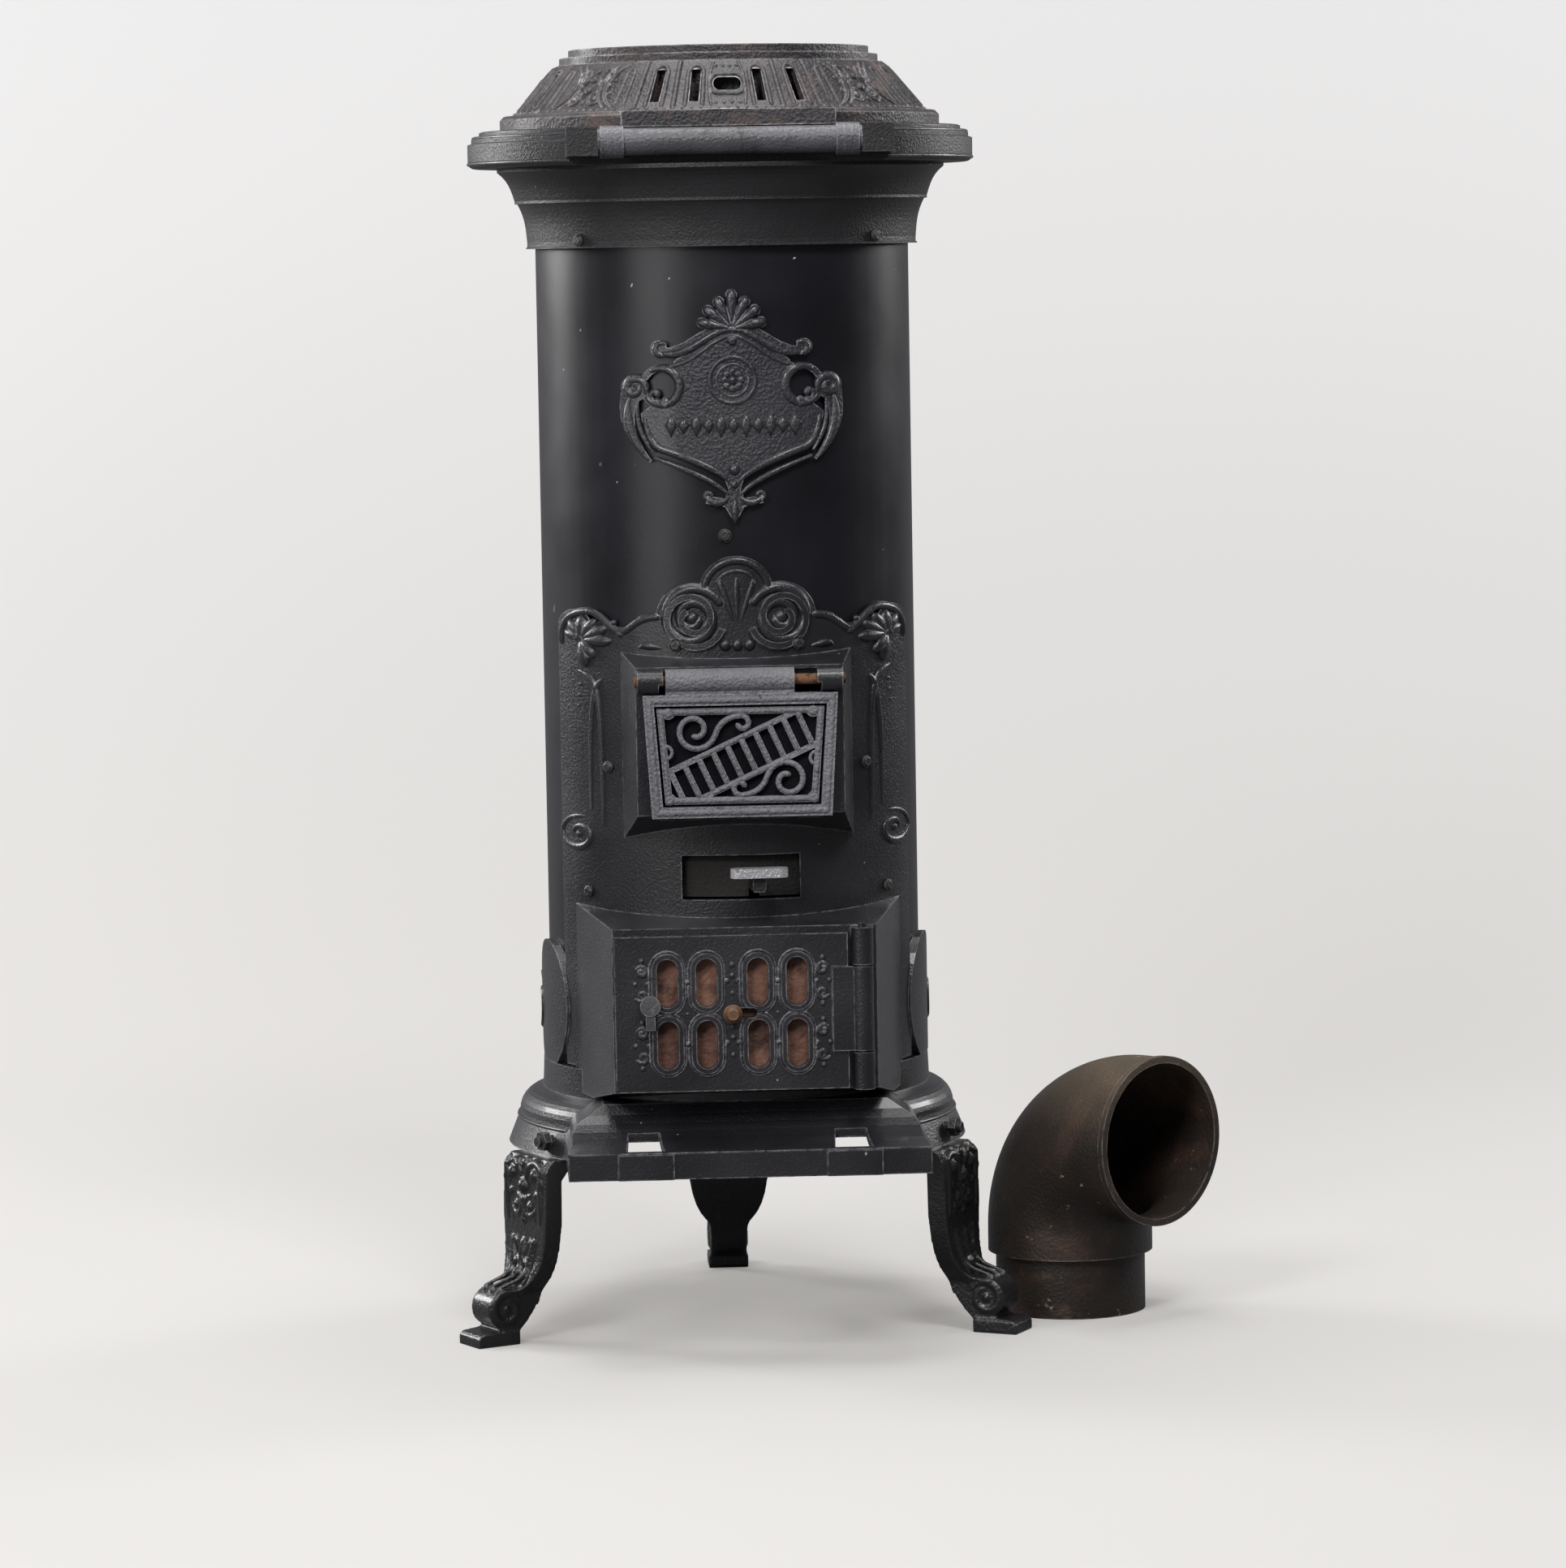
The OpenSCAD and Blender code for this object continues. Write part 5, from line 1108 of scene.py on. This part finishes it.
def leg_template():
    """One cast leg with its relief, skinned over as one smooth casting."""
    form = straight_leg()
    skin = form.data.vertices

    def leg_face(z):
        """How far out the leg's outer face lies at a height."""
        near = (-v.co.y / MM for v in skin if abs(v.co.z / MM - z) < LEG_REACH)
        return max(near, default=0.0)

    rows = [(z, leg_face(z)) for z in LEG_ROWS]
    rows = [(z, d) for z, d in rows if d > LEG_INNER_D]

    def outer(x, z, h=0.0):
        for (z0, d0), (z1, d1) in zip(rows, rows[1:]):
            if z <= z1:
                d = d0 + (d1 - d0) * max(0.0, (z - z0) / (z1 - z0))
                return Vector((x, -(d + h), z)) * MM
        return Vector((x, -(rows[-1][1] + h), z)) * MM

    strokes = []
    for s in (-1, 1):
        strokes.append((curve((s * 29, 136), (s * 23, 122), (s * 27, 108), (s * 25, 92), 12),
                        swell(13, 1.8, 3.4, 0.3)))
        strokes.append((curve((s * 23, 90), (s * 14, 78), (s * 12, 60), (s * 11, 44), 12),
                        swell(13, 1.4, 3.6, 0.6)))
        strokes.append((curve((s * 24, 133), (s * 12, 139), (s * 5, 132), (s * 4, 123), 10),
                        swell(11, 1.8, 3.8, 0.4)))
        strokes.append((arc(s * 10, 103, 7.5, 90, 90 + s * 250, 14), swell(15, 1.4, 3.0)))
        strokes.append((curve((s * 16, 96), (s * 20, 84), (s * 9, 78), (s * 5, 66), 10),
                        swell(11, 1.0, 2.8)))
    strokes.append((curve((0, 98), (0, 84), (0, 66), (0, 44), 12), swell(13, 1.6, 4.0, 0.55)))
    relief = cast_ridges("leg_strokes", strokes, outer, LEG, sink=0.15)
    beads = [(0, 118, 6.5), (0, 107, 4.2), (-10, 103, 4.0), (10, 103, 4.0), (0, 92, 3.4), (-17, 127, 5.4),
             (17, 127, 5.4), (-27, 122, 3.8), (27, 122, 3.8), (-26, 104, 3.0), (26, 104, 3.0), (0, 52, 4.6),
             (-7, 60, 3.4), (7, 60, 3.4), (0, 135, 4.4), (-10, 135, 3.4), (10, 135, 3.4), (-19, 112, 3.0),
             (19, 112, 3.0)]
    studs = cast_beads("leg_beads", beads, outer, LEG, sink=0.2)

    parts = [form, relief, studs]
    for s in (-1, 1):
        def flank(d, z, h=0.0, side=s):
            half = 14.5 + max(0.0, (z - 38) * 0.42)
            return Vector((side * (min(half, 32.5) + h), -d, z)) * MM
        coil = spiral(SCROLL_D, SCROLL_Z, 12.8, 7.0, 150, -1.15, 34)
        lines = [(coil, swell(len(coil), 1.8, 3.0, 0.4)),
                 (curve((FOOT_R - 20, SCROLL_Z + 10), (FOOT_R - 27, SCROLL_Z + 22),
                        (FOOT_R - 33, SCROLL_Z + 36), (FOOT_R - 36, SCROLL_Z + 48), 12),
                  swell(13, 1.2, 3.0)),
                 (curve((FOOT_R - 34, SCROLL_Z + 2), (FOOT_R - 38, SCROLL_Z + 18),
                        (FOOT_R - 42, SCROLL_Z + 34), (FOOT_R - 44, SCROLL_Z + 52), 12),
                  swell(13, 0.8, 1.8))]
        parts.append(cast_ridges("leg_coil", lines, flank, LEG, sink=0.3))
        parts.append(cast_beads("leg_eye", [(SCROLL_D, SCROLL_Z, 3.8)], flank, LEG, sink=0.4))
    whole = joined("leg_whole", parts)
    remesh = whole.modifiers.new("skin", "REMESH")
    remesh.mode = "VOXEL"
    remesh.voxel_size = LEG_VOXEL
    soften = whole.modifiers.new("soften", "SMOOTH")
    soften.factor = 0.5
    soften.iterations = 3
    return baked(whole, "leg_template")


def legs():
    """Three copies of the cast leg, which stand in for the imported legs."""
    template = leg_template()
    for angle, node in zip(LEG_ANGLES, LEG_NODES):
        mesh = template.data.copy()
        mesh.transform(Matrix.Rotation(math.radians(angle), 4, "Z"))
        for p in mesh.polygons:
            p.use_smooth = True
        obj = added(node + "_cast", mesh)
        settle(obj, STOVE, LEG)
        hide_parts(node)
    bpy.data.objects.remove(template)


# ---- stage ----

PAPER_COLOUR = (0.365, 0.358, 0.352, 1)
PAPER_THROWN = (0.13, 0.13, 0.135, 1)
FLOOR_GLOW = (0.235, 0.225, 0.215, 1)
WALL_GLOW = (0.41, 0.41, 0.415, 1)
WALL_GLOW_Z = 1.3
AIR_LIGHT = (0.90, 0.94, 1.0, 1)
AIR_SHOWN = (0.80, 0.80, 0.81, 1)
CAMERA_DISTANCE = 4.5
CAMERA_HEIGHT = 0.820
CAMERA_AZIMUTH = -2.5
CAMERA_PITCH = 5.2
CAMERA_ROLL = 0.0170
CAMERA_YAW = 0.507
PHOTO_W, PHOTO_H = 1930, 1932
FOCAL_PX = 7245.0
SENSOR_MM = 36.0


def seen_directly(t):
    """1 for what the camera itself sees, also through something clear."""
    path = t.add("ShaderNodeLightPath")
    return t.math("MAXIMUM", path.outputs["Is Camera Ray"], path.outputs["Is Transmission Ray"])


def photo_camera():
    """The camera that was fitted to the photo."""
    data = bpy.data.cameras.new("photo_camera")
    camera = added("photo_camera", data)
    azimuth = math.radians(CAMERA_AZIMUTH)
    yaw = math.radians(CAMERA_YAW)
    pitch = math.radians(CAMERA_PITCH)
    level = Matrix.Rotation(-yaw, 3, "Z") @ Vector((-math.sin(azimuth), math.cos(azimuth), 0))
    right = level.cross(Vector((0, 0, 1))).normalized()
    forward = level * math.cos(pitch) - Vector((0, 0, math.sin(pitch)))
    up = right.cross(forward)
    c, s = math.cos(CAMERA_ROLL), math.sin(CAMERA_ROLL)
    x_axis, y_axis = right * c - up * s, right * s + up * c
    turn = Matrix((x_axis, y_axis, -forward)).transposed()
    place = Vector((CAMERA_DISTANCE * math.sin(azimuth), -CAMERA_DISTANCE * math.cos(azimuth), CAMERA_HEIGHT))
    camera.matrix_world = Matrix.Translation(place) @ turn.to_4x4()
    data.sensor_fit = "AUTO"
    data.sensor_width = SENSOR_MM
    data.lens = FOCAL_PX / max(PHOTO_W, PHOTO_H) * SENSOR_MM
    data.clip_end = 60.0
    bpy.context.scene.camera = camera


def studio_paper():
    """A matt paper that looks pale to the camera, and throws less light on the iron than it shows."""
    material = bpy.data.materials.new("studio_paper")
    material.use_nodes = True
    t = Tree(material.node_tree)
    shader = material.node_tree.nodes["Principled BSDF"]
    heights = t.add("ShaderNodeSeparateXYZ", Vector=t.place())
    height = t.ramp(heights.outputs["Z"], 0.0, WALL_GLOW_Z, interpolation_type="SMOOTHSTEP")
    glow = t.add("ShaderNodeMix", data_type="RGBA", Factor=height, A=FLOOR_GLOW, B=WALL_GLOW)
    seen = seen_directly(t)
    shown = t.add("ShaderNodeMix", data_type="RGBA", Factor=seen, A=PAPER_THROWN, B=PAPER_COLOUR)
    for name, value in (("Roughness", 0.9), ("Specular IOR Level", 0.1),
                        ("Base Color", shown.outputs["Result"]), ("Emission Strength", seen),
                        ("Emission Color", glow.outputs["Result"])):
        t.put(value, shader.inputs[name])

    # the paper is clear from its back, so that the stove shows from behind too
    side = t.add("ShaderNodeNewGeometry")
    clear = t.add("ShaderNodeBsdfTransparent")
    pick = t.add("ShaderNodeMixShader", side.outputs["Backfacing"], shader.outputs["BSDF"],
                 clear.outputs["BSDF"])
    t.put(pick.outputs["Shader"], material.node_tree.nodes["Material Output"].inputs["Surface"])
    return material


def studio():
    """A pale floor that sweeps up into a backdrop, soft lamps and an even world."""
    bm = bmesh.new()
    half, near, far, radius, height = 9.0, -3.4, 2.6, 1.4, 7.0
    profile = [(near, 0.0), (far - radius, 0.0)]
    profile += [(far - radius + radius * math.sin(a), radius * (1 - math.cos(a)))
                for a in (math.radians(x) for x in range(6, 91, 6))]
    profile.append((far, height))
    rows = [[bm.verts.new((x, y, z)) for x in (-half, half)] for y, z in profile]
    for a, b in zip(rows, rows[1:]):
        bm.faces.new((a[0], a[1], b[1], b[0]))
    sweep = as_object("studio_sweep", bm)
    sweep.data.flip_normals()
    sweep.data.materials.append(studio_paper())

    world = bpy.data.worlds.new("studio_air")
    bpy.context.scene.world = world
    world.use_nodes = True
    t = Tree(world.node_tree)
    out = world.node_tree.nodes["World Output"]
    air = world.node_tree.nodes["Background"]
    t.put(AIR_LIGHT, air.inputs["Color"])
    t.put(0.10, air.inputs["Strength"])
    seen = t.add("ShaderNodeBackground", Color=AIR_SHOWN)
    pick = t.add("ShaderNodeMixShader", seen_directly(t), air.outputs["Background"],
                 seen.outputs["Background"])
    t.put(pick.outputs["Shader"], out.inputs["Surface"])

    lamp("key_softbox", (-1.5, -2.9, 2.4), (0, 0, 0.75), 0.9, 57)
    lamp("front_softbox", (0.7, -2.4, 3.2), (0, 0, 0.5), 1.0, 65)
    lamp("sheen_softbox", (-2.1, -2.1, 1.0), (0, 0, 0.5), 1.4, 15)
    lamp("top_softbox", (-0.2, 0.2, 3.5), (0, 0, 0.6), 1.8, 80)
    lamp("left_strip", (-2.6, 1.6, 1.5), (0, 0, 0.6), 1.1, 66)
    lamp("right_strip", (2.8, 1.6, 1.6), (0, 0, 0.6), 1.0, 46)


def lamp(name, place, target, size, power):
    """A square soft lamp, in metres and watts, that looks at the target."""
    data = bpy.data.lights.new(name, "AREA")
    data.shape = "SQUARE"
    data.size = size
    data.energy = power
    obj = added(name, data)
    obj.location = place
    obj.rotation_euler = (Vector(target) - Vector(place)).to_track_quat("-Z", "Y").to_euler()


# ---- the whole scene ----

photo_camera()
studio()
finish_nodes()
badge_relief()
crest_relief()
ear_relief()
fuel_door_relief()
ash_door_relief()
crown_relief()
rim_relief()
base_relief()
legs()

bpy.context.scene.view_settings.view_transform = "Standard"
